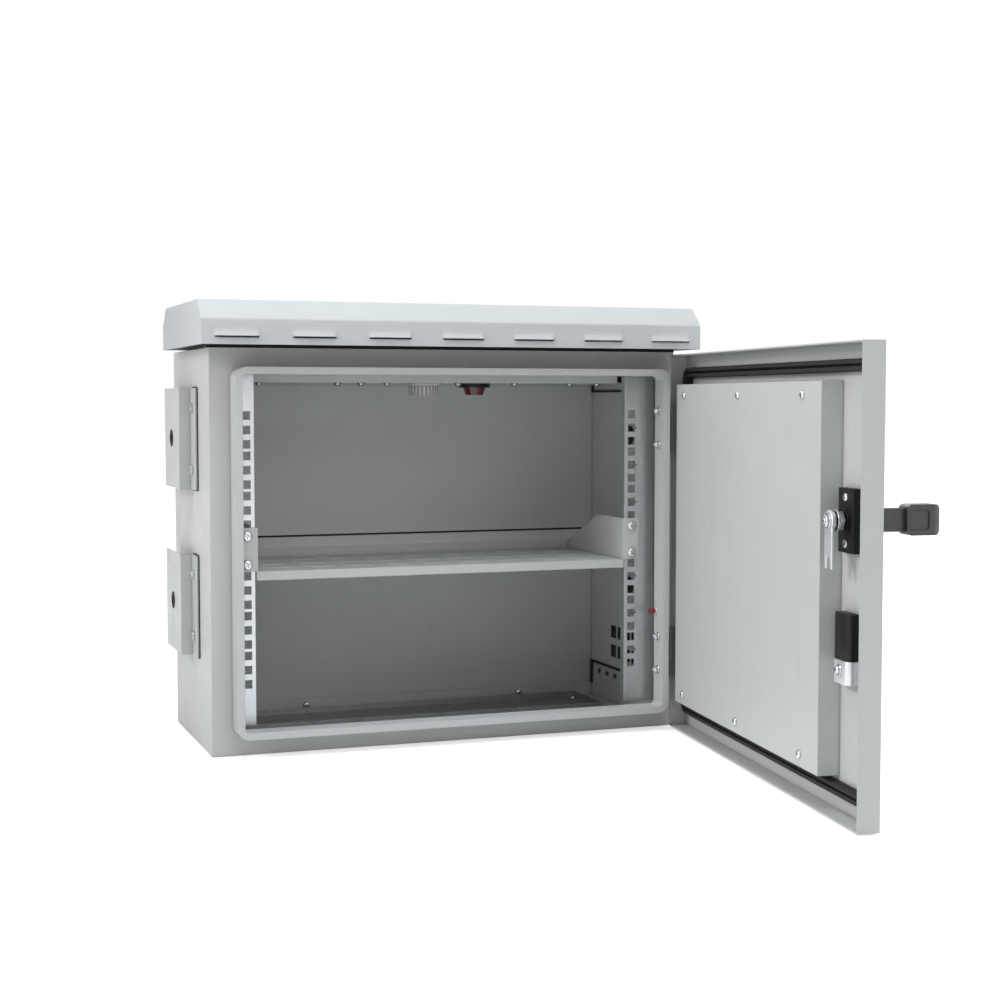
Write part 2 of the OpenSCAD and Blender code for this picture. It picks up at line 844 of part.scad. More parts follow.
module ceiling_screws() {
    color([0.78, 0.79, 0.80])
    for (x = ceiling_xs)
        union() {
            rod_z(x, ceiling_y, ceiling_z - 4, ceiling_z, 8.5);
            rod_z(x, ceiling_y, ceiling_z - 1, ceiling_z + 6, 4.2);
        }
}

module breather_cap() {
    color([0.80, 0.80, 0.78])
    translate([0, hanging_y, 0])
    union() {
        rod_z(0, 0, ceiling_z - 3, ceiling_z, cap_d + 3);
        rod_z(0, 0, ceiling_z - 15, ceiling_z - 1, cap_d - 3);
        rod_z(0, 0, ceiling_z - 2, ceiling_z + 8, 11.6);
        for (a = [0:15:345])
            rotate([0, 0, a])
                translate([cap_d/2 - 3, -1.2, ceiling_z - 15])
                    cube([3, 2.4, 14]);
    }
}

module lamp_base() {
    color([0.06, 0.06, 0.06])
    translate([lamp_x, hanging_y, 0])
    difference() {
        union() {
            rod_z(0, 0, ceiling_z - 5, ceiling_z, lamp_d);
            rod_z(0, 0, ceiling_z - 2, ceiling_z + 8, 11.6);
        }
        rod_z(0, 0, ceiling_z - 6, ceiling_z - 3, lamp_d - 9);
    }
}

module lamp_lens() {
    color([0.35, 0.02, 0.03])
    translate([lamp_x, hanging_y, ceiling_z - 14])
        cylinder(h = 11, d1 = lamp_d - 17, d2 = lamp_d - 9.4);
}

module wall_plugs() {
    color([0.04, 0.04, 0.04])
    for (z = bracket_z)
        union() {
            rod_x(wall_x - 3, wall_x, plug_y, z, 23);
            rod_x(wall_x - 1, wall_x + sheet, plug_y, z, 16);
        }
}

// black grilles pressed into the vent holes
module vent_inserts() {
    side = vent_side - 0.2;
    color([0.03, 0.03, 0.03])
    for (i = [0:3])
        for (k = [0:1])
            translate([wall_x, vent_y0 + i*vent_pitch_y, vent_z0 + k*vent_pitch_z])
                difference() {
                    translate([0, -side/2, -side/2])
                        cube([sheet, side, side]);
                    for (j = [-1, 0, 1])
                        translate([-1, -side/2 + 2, j*4 - 0.5])
                            cube([1.7, side - 4, 1]);
                }
}

module side_screws() {
    color([0.70, 0.71, 0.72])
    for (y = side_screw_y)
        union() {
            rod_x(wall_x - 2, wall_x, y, side_screw_z, 6);
            rod_x(wall_x - 0.5, body_w/2, y, side_screw_z, 3.2);
        }
}

module seam_strip() {
    color([0.05, 0.05, 0.05])
    translate([-wall_x, back_y - sheet, seam_z])
        cube([2*wall_x, 0.9, 2.4]);
}

module side_seal(z, y0, up) {
    color([0.03, 0.03, 0.03])
    union() {
        translate([wall_x - 2.5, y0, z])
            cube([2.5, back_y - 2*sheet - 1 - y0, 2.5]);
        translate([wall_x - 2.5, back_y - 2*sheet - 4, up ? z : floor_flange])
            cube([2.5, 3, up ? 8 : z + 2.5 - floor_flange]);
    }
}

module side_seal_high() {
    side_seal(seal_high, front_y + 76, true);
}

module side_seal_low() {
    side_seal(seal_low, screw_y + 8, false);
}

module earth_stud() {
    x1 = rim_x1 - rim_face;
    color([0.86, 0.86, 0.84])
    union() {
        rod_x(x1 - 2, x1, earth_y, earth_z, 8);
        rod_x(x1 - 6, x1 + 6, earth_y, earth_z, 4);
    }
}

module earth_cap() {
    x1 = rim_x1 - rim_face - 2;
    color([0.62, 0.08, 0.05])
    difference() {
        rod_x(x1 - 7, x1, earth_y, earth_z, 6);
        rod_x(x1 - 4, x1 + 1, earth_y, earth_z, 4);
    }
}

// hinges

module hinge_frame(z) {
    half = hinge_l/2;
    third = hinge_l/6;
    color([0.10, 0.10, 0.11])
    difference() {
        union() {
            translate([rim_x1, axis_y - 9, z - half])
                cube([sheet, 17, hinge_l]);
            rod_z(axis_x, axis_y, z - third + 0.2, z + third - 0.2, knuckle_d);
            translate([rim_x1, axis_y - 1.5, z - third + 0.2])
                cube([axis_x - rim_x1, 3, 2*third - 0.4]);
        }
        rod_z(axis_x, axis_y, z - half - 1, z + half + 1, hinge_pin_d);
        for (k = [-1, 1])
            rod_x(rim_x1 - 1, rim_x1 + sheet + 1, hinge_screw_y, z + k*hinge_screw_z, 4.4);
    }
}

module hinge_leaf_high() {
    hinge_frame(hinge_high);
}

module hinge_leaf_low() {
    hinge_frame(hinge_low);
}

module hinge_screws() {
    x1 = rim_x1 - rim_face;
    color([0.74, 0.75, 0.77])
    for (z = [hinge_high, hinge_low])
        for (k = [-1, 1])
            union() {
                rod_x(x1 - 1.2, x1, hinge_screw_y, z + k*hinge_screw_z, 10.5);
                rod_x(x1 - 5, x1, hinge_screw_y, z + k*hinge_screw_z, 7.5);
                rod_x(x1 - 6, rim_x1 + sheet, hinge_screw_y, z + k*hinge_screw_z, 4.2);
            }
}

module hinge_pins() {
    color([0.80, 0.81, 0.83])
    for (z = [hinge_high, hinge_low])
        rod_z(axis_x, axis_y, z - hinge_l/2, z + hinge_l/2, hinge_pin_d);
}

module hinge_door(z) {
    half = hinge_l/2;
    third = hinge_l/6;
    leaf_x = door_x1 - 2*sheet;
    color([0.10, 0.10, 0.11])
    on_door()
    difference() {
        union() {
            translate([leaf_x, lip_y - 18, z - half])
                cube([sheet, 17, hinge_l]);
            for (k = [-1, 1]) {
                rod_z(axis_x, axis_y, z + k*2*third - third + 0.2, z + k*2*third + third - 0.2, knuckle_d);
                translate([axis_x, axis_y - 6, z + k*2*third - third + 0.2])
                    cube([leaf_x + sheet - axis_x, 6, 2*third - 0.4]);
            }
        }
        rod_z(axis_x, axis_y, z - half - 1, z + half + 1, hinge_pin_d + 2*pin_play);
    }
}

module door_leaf_high() {
    hinge_door(hinge_high);
}

module door_leaf_low() {
    hinge_door(hinge_low);
}

// door

module door_panel() {
    color([0.79, 0.79, 0.78])
    on_door()
    difference() {
        translate([door_x0, face_y, door_low])
            cube([door_w, door_t, door_h]);
        translate([door_x0 + sheet, skin_y, door_low + sheet])
            cube([door_w - 2*sheet, door_t, door_h - 2*sheet]);
        // spindle hole and the hole for the lower clamp
        rod_y(lock_x, face_y - 1, skin_y + 1, lock_z, spindle_d + 1);
        rod_y(lock_x, face_y - 1, skin_y + 1, clamp_z, 8.4);
        for (k = [-1, 1])
            rod_y(lock_x, face_y - 1, skin_y + 1, lock_z + lock_screw*k, 4.4);
        // drain holes in the lower edge
        for (x = [door_x1 - 24, door_x1 - 60])
            rod_z(x, lip_y - 11, door_low - 1, door_low + sheet + 1, 5);
    }
}

module door_gasket() {
    mid = gasket_w/2 - rim_face/2;
    color([0.03, 0.03, 0.03])
    on_door()
    union() {
        slab(skin_y, skin_y + gasket_h*0.45)
            difference() {
                rim_outline(mid);
                rim_outline(mid - gasket_w);
            }
        slab(skin_y, skin_y + gasket_h)
            difference() {
                rim_outline(mid - 0.8);
                rim_outline(mid - 4.6);
            }
        slab(skin_y, skin_y + gasket_h)
            difference() {
                rim_outline(mid - gasket_w + 4.6);
                rim_outline(mid - gasket_w + 0.8);
            }
    }
}

module inner_cover() {
    color([0.80, 0.80, 0.79])
    on_door()
    difference() {
        translate([cover_x1 - cover_w, skin_y, cover_low])
            cube([cover_w, cover_y - skin_y, cover_h]);
        translate([cover_x1 - cover_w + sheet, skin_y - 1, cover_low + sheet])
            cube([cover_w - 2*sheet, cover_y - skin_y + 1 - sheet, cover_h - 2*sheet]);
        for (x = cover_screw_x)
            for (z = cover_screw_z)
                rod_y(cover_x1 - x, skin_y, cover_y + 1, cover_low + z, 4.4);
    }
}

module cover_screws() {
    color([0.80, 0.81, 0.83])
    on_door()
    for (x = cover_screw_x)
        for (z = cover_screw_z)
            difference() {
                union() {
                    rod_y(cover_x1 - x, cover_y, cover_y + 2.8, cover_low + z, 8.5);
                    rod_y(cover_x1 - x, skin_y, cover_y + 1, cover_low + z, 4.2);
                }
                translate([cover_x1 - x - 2.5, cover_y + 1.4, cover_low + z - 0.5])
                    cube([5, 3, 1]);
                translate([cover_x1 - x - 0.5, cover_y + 1.4, cover_low + z - 2.5])
                    cube([1, 3, 5]);
            }
}

// lock and handle

module lock_housing() {
    color([0.07, 0.07, 0.075])
    on_door()
    difference() {
        union() {
            translate([lock_x - lock_w/2, skin_y, lock_z - lock_h/2])
                cube([lock_w, lock_t, lock_h]);
            rod_y(lock_x, skin_y, skin_y + lock_t + 3, lock_z, spindle_d + 10);
        }
        rod_y(lock_x, skin_y - 1, skin_y + lock_t + 4, lock_z, spindle_d + 2*pin_play);
        for (k = [-1, 1])
            rod_y(lock_x, skin_y - 1, skin_y + lock_t + 1, lock_z + lock_screw*k, 4.4);
    }
}

module lock_screws() {
    color([0.76, 0.77, 0.79])
    on_door()
    for (k = [-1, 1])
        difference() {
            union() {
                rod_y(lock_x, skin_y + lock_t, skin_y + lock_t + 2.5, lock_z + lock_screw*k, 8);
                rod_y(lock_x, face_y - base_t + 2, skin_y + lock_t + 1, lock_z + lock_screw*k, 4.2);
            }
            translate([lock_x - 2.5, skin_y + lock_t + 1.2, lock_z + lock_screw*k - 0.5])
                cube([5, 3, 1]);
        }
}

module clamp_block() {
    color([0.07, 0.07, 0.075])
    on_door()
    difference() {
        translate([lock_x - lock_w/2, skin_y, clamp_low])
            cube([lock_w, clamp_t, clamp_h]);
        rod_y(lock_x, skin_y - 1, skin_y + clamp_t - 3, clamp_z, 8.4);
    }
}

module clamp_band() {
    color([0.78, 0.79, 0.80])
    on_door()
    difference() {
        translate([lock_x - lock_w/2, skin_y, clamp_low - band_h])
            cube([lock_w, clamp_t + 1, band_h]);
        translate([lock_x - lock_w/2 + band_t, skin_y - 1, clamp_low - band_h - 1])
            cube([lock_w - 2*band_t, clamp_t + 2 - band_t, band_h + 2]);
        rod_y(lock_x, skin_y + clamp_t - band_t, skin_y + clamp_t + 2, clamp_screw_z, 5.4);
    }
}

module clamp_screw() {
    y1 = skin_y + clamp_t + 1;
    color([0.80, 0.81, 0.83])
    on_door()
    union() {
        rod_y(lock_x, y1, y1 + 1.2, clamp_screw_z, 11);
        rod_y(lock_x, y1, y1 + 4.5, clamp_screw_z, 8);
        rod_y(lock_x, skin_y, y1 + 1, clamp_screw_z, 5.2);
    }
}

module lock_base() {
    color([0.10, 0.10, 0.105])
    on_door()
    difference() {
        union() {
            slab(base_face_y, face_y)
                translate([lock_x, lock_z + 37 - base_l/2])
                    round_rect(base_w, base_l, 8);
            rod_y(lock_x, face_y, skin_y + clamp_t - 3, clamp_z, 8);
        }
        rod_y(lock_x, base_face_y - 1, face_y + 1, lock_z, spindle_d + 2*pin_play);
        rod_y(lock_x, base_face_y - 1, base_face_y + 4, lock_z - key_drop, key_d + 2*pin_play);
        for (k = [-1, 1])
            rod_y(lock_x, base_face_y + 1.5, face_y + 1, lock_z + lock_screw*k, 4.2);
    }
}

module spindle() {
    color([0.13, 0.13, 0.135])
    on_door()
    difference() {
        union() {
            rod_y(lock_x, base_face_y - 0.5, cam_y, lock_z, spindle_d);
            rod_y(lock_x, base_face_y - boss_gap - boss_t, base_face_y - boss_gap, lock_z, 26);
            translate([lock_x - 6, handle_y, lock_z - lug_w/2])
                cube([12, base_face_y - boss_gap - handle_y, lug_w]);
            rod_z(lock_x, handle_y, lock_z - lug_w/2, lock_z + lug_w/2, 12);
        }
        rod_z(lock_x, handle_y, lock_z - 20, lock_z + 20, 4);
        rod_y(lock_x, cam_y - 12, cam_y + 1, lock_z, 5.9);
    }
}

module spindle_washer() {
    color([0.80, 0.81, 0.83])
    on_door()
    difference() {
        rod_y(lock_x, cam_y - 2, cam_y, lock_z, 19);
        rod_y(lock_x, cam_y - 3, cam_y + 1, lock_z, spindle_d);
    }
}

module cam_lever() {
    color([0.80, 0.81, 0.82])
    on_door()
    difference() {
        union() {
            rod_y(lock_x, cam_y, cam_y + cam_t, lock_z, cam_w + 2);
            translate([lock_x - cam_w/2, cam_y, lock_z - cam_l + 10])
                cube([cam_w, cam_t, cam_l - 10]);
            translate([lock_x - cam_w/2, cam_y, lock_z - cam_l])
                cube([5.5, cam_t, 12]);
            translate([lock_x + cam_w/2 - 5.5, cam_y, lock_z - cam_l])
                cube([5.5, cam_t, 12]);
        }
        rod_y(lock_x, cam_y - 1, cam_y + cam_t + 1, lock_z, 6.2);
    }
}

module cam_bolt() {
    color([0.83, 0.84, 0.86])
    on_door()
    union() {
        translate([lock_x, cam_y + cam_t, lock_z])
            rotate([-90, 0, 0])
                cylinder(h = 4.5, d = 11.5, $fn = 6);
        rod_y(lock_x, cam_y - 10, cam_y + cam_t + 1, lock_z, 5.8);
    }
}

module handle() {
    color([0.16, 0.165, 0.17])
    on_door()
    difference() {
        union() {
            rod_z(lock_x, handle_y, lock_z - arm_w/2, lock_z + arm_w/2, 12);
            translate([lock_x - arm_t/2, handle_y - handle_l + grip_l - 2, lock_z - arm_w/2])
                cube([arm_t, handle_l - grip_l + 2, arm_w]);
            translate([lock_x, handle_y - handle_l + grip_l/2, lock_z])
                rotate([0, 90, 0])
                    translate([0, 0, -grip_t/2])
                        linear_extrude(grip_t)
                            round_rect(grip_w, grip_l, 5);
        }
        // fork that straddles the spindle's lug
        translate([lock_x - 10, handle_y - 7, lock_z - lug_w/2 - lug_play])
            cube([20, 20, lug_w + 2*lug_play]);
        rod_z(lock_x, handle_y, lock_z - 20, lock_z + 20, 4);
        // shallow field on the grip's outer face
        translate([lock_x - grip_t/2 - 0.01, grip_y + grip_l - 12.5, lock_z])
            rotate([0, 90, 0])
                linear_extrude(1.6)
                    round_rect(grip_w - 9, 20, 4);
        // sloped end of the outer face
        translate([lock_x - grip_t/2, grip_y, lock_z - grip_w])
            linear_extrude(2*grip_w)
                polygon([[-1, -1], [4.1, -1], [-1, 7.7]]);
    }
}

module handle_pin() {
    color([0.76, 0.77, 0.79])
    on_door()
        rod_z(lock_x, handle_y, lock_z - arm_w/2, lock_z + arm_w/2, 4 - 2*pin_play);
}

module lock_cylinder() {
    z = lock_z - key_drop;
    color([0.70, 0.66, 0.50])
    on_door()
    difference() {
        rod_y(lock_x, base_face_y - 2, base_face_y + 4, z, key_d);
        translate([lock_x - 0.6, base_face_y - 3, z - 4])
            cube([1.2, 4, 8]);
    }
}

front_frame();
left_wall();
right_wall();
back_panel();
top_panel();
bottom_panel();
ceiling_panel();
roof();
roof_support_left();
roof_support_right();
left_rail();
right_rail();
rail_screws();
shelf();
shelf_screws();
cage_nuts();
bracket_left_high();
bracket_left_low();
bracket_right_high();
bracket_right_low();
bracket_pads();
bracket_screws();
gland_plate();
gland_screws();
floor_screws();
ceiling_screws();
breather_cap();
lamp_base();
lamp_lens();
wall_plugs();
vent_inserts();
side_screws();
seam_strip();
side_seal_high();
side_seal_low();
earth_stud();
earth_cap();
hinge_leaf_high();
hinge_leaf_low();
hinge_screws();
hinge_pins();
door_panel();
door_gasket();
door_leaf_high();
door_leaf_low();
inner_cover();
cover_screws();
lock_housing();
lock_screws();
clamp_block();
clamp_band();
clamp_screw();
lock_base();
spindle();
spindle_washer();
cam_lever();
cam_bolt();
handle();
handle_pin();
lock_cylinder();
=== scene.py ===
import bmesh
import bpy
import json
import math
from mathutils import Matrix, Vector


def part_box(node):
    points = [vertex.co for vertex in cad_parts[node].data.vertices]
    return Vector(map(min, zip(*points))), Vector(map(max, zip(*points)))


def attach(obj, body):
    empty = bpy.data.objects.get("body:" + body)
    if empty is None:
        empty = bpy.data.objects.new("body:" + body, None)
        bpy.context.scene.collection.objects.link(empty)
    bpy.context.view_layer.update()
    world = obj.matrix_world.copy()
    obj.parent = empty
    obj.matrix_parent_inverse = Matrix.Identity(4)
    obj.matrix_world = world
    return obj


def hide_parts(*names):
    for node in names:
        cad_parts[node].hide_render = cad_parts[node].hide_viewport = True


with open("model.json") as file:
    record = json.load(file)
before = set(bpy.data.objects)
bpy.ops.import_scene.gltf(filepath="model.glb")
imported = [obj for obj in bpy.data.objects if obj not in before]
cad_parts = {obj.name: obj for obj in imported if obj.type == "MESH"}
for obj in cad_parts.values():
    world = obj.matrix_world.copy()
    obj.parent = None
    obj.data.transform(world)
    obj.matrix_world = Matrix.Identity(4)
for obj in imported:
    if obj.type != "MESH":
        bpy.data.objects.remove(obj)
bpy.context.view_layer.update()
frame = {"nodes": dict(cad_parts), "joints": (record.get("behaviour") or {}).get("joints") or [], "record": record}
nodes = frame["nodes"]
scene = bpy.context.scene
scene.view_settings.view_transform = "Standard"

# camera, fitted to the photograph
TILT_DOWN, TURN_RIGHT = 0.05925, 0.34998
cam_data = bpy.data.cameras.new("camera")
cam_data.sensor_width = 36.0
cam_data.lens = 62.06
cam_data.shift_x = -0.00233
cam_data.shift_y = 0.00241
camera = bpy.data.objects.new("camera", cam_data)
camera.location = (-0.61862, -1.98457, 0.39182)
camera.rotation_euler = (math.pi/2 - TILT_DOWN, 0.0, -TURN_RIGHT)
scene.collection.objects.link(camera)
scene.camera = camera

# ---- materials ----
WHITE = (1.0, 1.0, 1.0)
NOISE_LOW, NOISE_HIGH = 0.3, 0.7        # most values of a noise texture lie between these
EDGE_DOT, FLAT_DOT = 0.72, 0.99         # rounded normal against true normal, at an edge and on a face
CORNER_AO, OPEN_AO = 0.15, 0.75         # occlusion in a tight corner and in the open, for the painted corner shade


def map_range(tree, value, low, high, start=0.0, end=1.0):
    """Maps a value that runs from start to end onto low to high."""
    node = tree.nodes.new("ShaderNodeMapRange")
    for socket, number in (("From Min", start), ("From Max", end), ("To Min", low), ("To Max", high)):
        node.inputs[socket].default_value = number
    tree.links.new(value, node.inputs["Value"])
    return node.outputs[0]


class Tree:
    """A small helper that builds a material's nodes."""

    def __init__(self, name):
        self.mat = bpy.data.materials.new(name)
        self.mat.use_nodes = True
        self.nt = self.mat.node_tree
        self.nt.nodes.clear()
        self.out = self.add("ShaderNodeOutputMaterial")
        self.bsdf = self.add("ShaderNodeBsdfPrincipled")
        self.link(self.bsdf.outputs[0], self.out.inputs[0])
        self.coords = self.add("ShaderNodeTexCoord").outputs["Object"]

    def add(self, kind):
        return self.nt.nodes.new(kind)

    def link(self, a, b):
        self.nt.links.new(a, b)

    def set(self, **values):
        for key, value in values.items():
            self.bsdf.inputs[key.replace("_", " ")].default_value = value

    def noise(self, scale, detail=3.0, rough=0.5, stretch=None):
        n = self.add("ShaderNodeTexNoise")
        n.inputs["Scale"].default_value = scale
        n.inputs["Detail"].default_value = detail
        n.inputs["Roughness"].default_value = rough
        if stretch is None:
            self.link(self.coords, n.inputs["Vector"])
        else:
            m = self.add("ShaderNodeMapping")
            m.inputs["Scale"].default_value = stretch
            self.link(self.coords, m.inputs["Vector"])
            self.link(m.outputs[0], n.inputs["Vector"])
        return n.outputs["Fac"]

    def cells(self, scale):
        """One random value for each cell of a Voronoi pattern."""
        v = self.add("ShaderNodeTexVoronoi")
        v.inputs["Scale"].default_value = scale
        self.link(self.coords, v.inputs["Vector"])
        s = self.add("ShaderNodeSeparateColor")
        self.link(v.outputs["Color"], s.inputs[0])
        return s.outputs[0]

    def ramp(self, fac, low, high, start=NOISE_LOW, end=NOISE_HIGH):
        """Runs from the colour low at start to the colour high at end."""
        r = self.add("ShaderNodeValToRGB")
        for stop, place, colour in zip(r.color_ramp.elements, (start, end), (low, high)):
            stop.position = place
            stop.color = (*colour, 1.0)
        self.link(fac, r.inputs[0])
        return r.outputs[0]

    def span(self, fac, low, high, start=0.0, end=1.0):
        return map_range(self.nt, fac, low, high, start, end)

    def noise_span(self, fac, low, high):
        """Spreads the usual values of a noise over low to high."""
        return self.span(fac, low, high, NOISE_LOW, NOISE_HIGH)

    def calc(self, op, a, b):
        m = self.add("ShaderNodeMath")
        m.operation = op
        for socket, value in zip(m.inputs, (a, b)):
            if isinstance(value, (int, float)):
                socket.default_value = value
            else:
                self.link(value, socket)
        return m.outputs[0]

    def weighted(self, a, share_a, b, share_b):
        """The sum of two values, each times its share."""
        return self.calc("ADD", self.calc("MULTIPLY", a, share_a), self.calc("MULTIPLY", b, share_b))

    def mix(self, fac, a, b, blend="MIX"):
        m = self.add("ShaderNodeMix")
        m.data_type = "RGBA"
        m.blend_type = blend
        for socket, value in ((m.inputs[0], fac), (m.inputs[6], a), (m.inputs[7], b)):
            if isinstance(value, (int, float)):
                socket.default_value = value
            elif isinstance(value, tuple):
                socket.default_value = (*value, 1.0)
            else:
                self.link(value, socket)
        return m.outputs[2]

    def edges(self, radius):
        """A normal rounded at the edges, and a mask: 1 along sharp edges, 0 on flat faces."""
        b = self.add("ShaderNodeBevel")
        b.samples = 4
        b.inputs["Radius"].default_value = radius
        g = self.add("ShaderNodeNewGeometry")
        d = self.add("ShaderNodeVectorMath")
        d.operation = "DOT_PRODUCT"
        self.link(b.outputs[0], d.inputs[0])
        self.link(g.outputs["Normal"], d.inputs[1])
        return b.outputs[0], self.span(d.outputs["Value"], 1.0, 0.0, EDGE_DOT, FLAT_DOT)

    def corners(self, distance, low):
        """Painted shade: falls from 1 in the open to low in tight spots, darkening the colour where shade falls.
        """
        a = self.add("ShaderNodeAmbientOcclusion")
        a.samples = 3
        a.inputs["Distance"].default_value = distance
        return self.span(a.outputs["AO"], low, 1.0, CORNER_AO, OPEN_AO)

    def bump(self, height, strength, distance, normal):
        b = self.add("ShaderNodeBump")
        b.inputs["Strength"].default_value = strength
        b.inputs["Distance"].default_value = distance
        self.link(height, b.inputs["Height"])
        self.link(normal, b.inputs["Normal"])
        return b.outputs[0]

    def finish(self, colour, rough, normal):
        self.link(colour, self.bsdf.inputs["Base Color"])
        self.link(rough, self.bsdf.inputs["Roughness"])
        self.link(normal, self.bsdf.inputs["Normal"])
        return self.mat


def tinted(colour, factor, lift=0.0):
    """The colour made lighter or darker, at most white."""
    return tuple(min(1.0, c*factor + lift) for c in colour)


def powder_coat(name, colour, specular=0.42, rough_low=0.40):
    """Light grey textured powder coat: orange peel, faint blotches, faint streaks of dust, edges painted lighter
    for wear from rubbing and as a painted highlight, and painted shade where surfaces meet closely.
    """
    grime = (0.9, 0.9, 0.9*0.985)
    rough_spread = 0.16
    t = Tree(name)
    t.set(Specular_IOR_Level=specular)
    pale = tinted(colour, 1.03)
    blotch = t.ramp(t.noise(5.0, detail=4.0, rough=0.6), tinted(colour, 0.965), pale)
    speck = t.ramp(t.noise(650.0, detail=2.0, rough=0.6), tinted(colour, 0.93), pale, 0.36, 0.62)
    base = t.mix(0.35, blotch, speck)
    smooth, edge = t.edges(radius=0.0011)
    # edges painted lighter: partly wear from rubbing, partly a painted highlight
    rubbed_and_highlit = t.mix(edge, base, tinted(colour, 1.06))
    streaks = t.noise(26.0, detail=6.0, rough=0.7, stretch=(1.0, 1.0, 0.25))
    marks = t.ramp(streaks, WHITE, grime, 0.60, 0.78)
    soiled_with_painted_light = t.mix(0.55, rubbed_and_highlit, marks, "MULTIPLY")
    # painted shade: darker where surfaces meet closely
    soiled_with_painted_light = t.mix(1.0, soiled_with_painted_light, t.corners(distance=0.005, low=0.42), "MULTIPLY")
    peel = t.calc("ADD", t.noise(520.0, detail=2.0), t.calc("MULTIPLY", t.noise(120.0, detail=2.0), 0.35))
    normal = t.bump(peel, strength=0.22, distance=0.0004, normal=smooth)
    rough = t.noise_span(t.noise(38.0, detail=4.0), rough_low, rough_low + rough_spread)
    return t.finish(soiled_with_painted_light, rough, normal)


def galvanised(name, dark, light, rough, edge_wear_and_highlight=1.1):
    """Zinc-coated steel with a fine spangle and rolling lines."""
    t = Tree(name)
    t.set(Metallic=0.82)
    spangle = t.cells(420.0)
    rolled = t.noise(90.0, detail=5.0, rough=0.6, stretch=(1.0, 1.0, 0.12))
    tone = t.ramp(t.weighted(spangle, 0.16, rolled, 0.84), dark, light)
    smooth, edge = t.edges(radius=0.0005)
    # edges painted lighter: partly wear, partly a painted highlight
    worn_with_painted_light = t.mix(edge, tone, tinted(light, edge_wear_and_highlight))
    normal = t.bump(rolled, strength=0.08, distance=0.0002, normal=smooth)
    return t.finish(worn_with_painted_light, t.span(spangle, *rough), normal)


def plated(name, dark, light, rough, painted_crevice_shade, metallic=0.9):
    """Bright zinc plating on screws and small plates: fine drawn lines, clouding, edges painted lighter for wear
    and as a painted highlight, and painted shade in crevices.
    """
    t = Tree(name)
    t.set(Metallic=metallic)
    drawn = t.noise(420.0, rough=0.55, stretch=(1.0, 1.0, 0.2))
    cloud = t.noise(45.0)
    tone = t.ramp(t.weighted(drawn, 0.4, cloud, 0.6), dark, light)
    smooth, edge = t.edges(radius=0.0004)
    # edges painted lighter: partly wear, partly a painted highlight
    worn_with_painted_light = t.mix(t.calc("MULTIPLY", edge, 0.5), tone, tinted(light, 1.1))
    # painted shade: darker in crevices and where parts meet
    shaded = t.mix(1.0, worn_with_painted_light, t.corners(distance=0.004, low=painted_crevice_shade), "MULTIPLY")
    normal = t.bump(drawn, strength=0.06, distance=0.0001, normal=smooth)
    return t.finish(shaded, t.noise_span(cloud, *rough), normal)


def moulded(name, dark, light, rough, grain=600.0, strength=0.08, edge_wear_and_highlight=0.2, painted_crevice_shade=1.0, specular=0.45):
    """Moulded plastic or a satin coat on metal: a fine grain, edges painted lighter for wear from rubbing and as a
    painted highlight, and painted shade in the grooves.
    """
    t = Tree(name)
    t.set(Specular_IOR_Level=specular)
    tone = t.ramp(t.noise(60.0, detail=4.0, rough=0.6), dark, light)
    smooth, edge = t.edges(radius=0.0007)
    # edges painted lighter: partly wear from rubbing, partly a painted highlight
    worn_with_painted_light = t.mix(t.calc("MULTIPLY", edge, edge_wear_and_highlight), tone, tinted(light, 1.6, lift=0.02))
    if painted_crevice_shade < 1.0:
        # painted shade in the grooves
        worn_with_painted_light = t.mix(1.0, worn_with_painted_light, t.corners(distance=0.004, low=painted_crevice_shade), "MULTIPLY")
    normal = t.bump(t.noise(grain, detail=2.0), strength, distance=0.0003, normal=smooth)
    return t.finish(worn_with_painted_light, t.noise_span(t.noise(45.0), *rough), normal)


def foam(name, dark, light):
    """Closed-cell sealing foam."""
    t = Tree(name)
    t.set(Specular_IOR_Level=0.25)
    pores = t.noise(1400.0, rough=0.6)
    tone = t.ramp(pores, dark, light, start=0.35)
    smooth, _ = t.edges(radius=0.0009)
    normal = t.bump(pores, strength=0.35, distance=0.0003, normal=smooth)
    return t.finish(tone, t.span(t.noise(30.0), 0.68, 0.86), normal)


def lens(name, dark, light):
    """Clear red moulding with fine ribs."""
    t = Tree(name)
    t.set(Transmission_Weight=0.35, IOR=1.49, Coat_Weight=0.3)
    tone = t.ramp(t.noise(110.0), dark, light)
    smooth, _ = t.edges(radius=0.0008)
    ribs = t.noise(240.0, detail=1.0, stretch=(1.0, 1.0, 0.05))
    normal = t.bump(ribs, strength=0.25, distance=0.0004, normal=smooth)
    return t.finish(tone, t.span(t.noise(60.0), 0.12, 0.22), normal)


def dress(node, mat):
    """Gives a CAD node one material."""
    nodes[node].data.materials.clear()
    nodes[node].data.materials.append(mat)


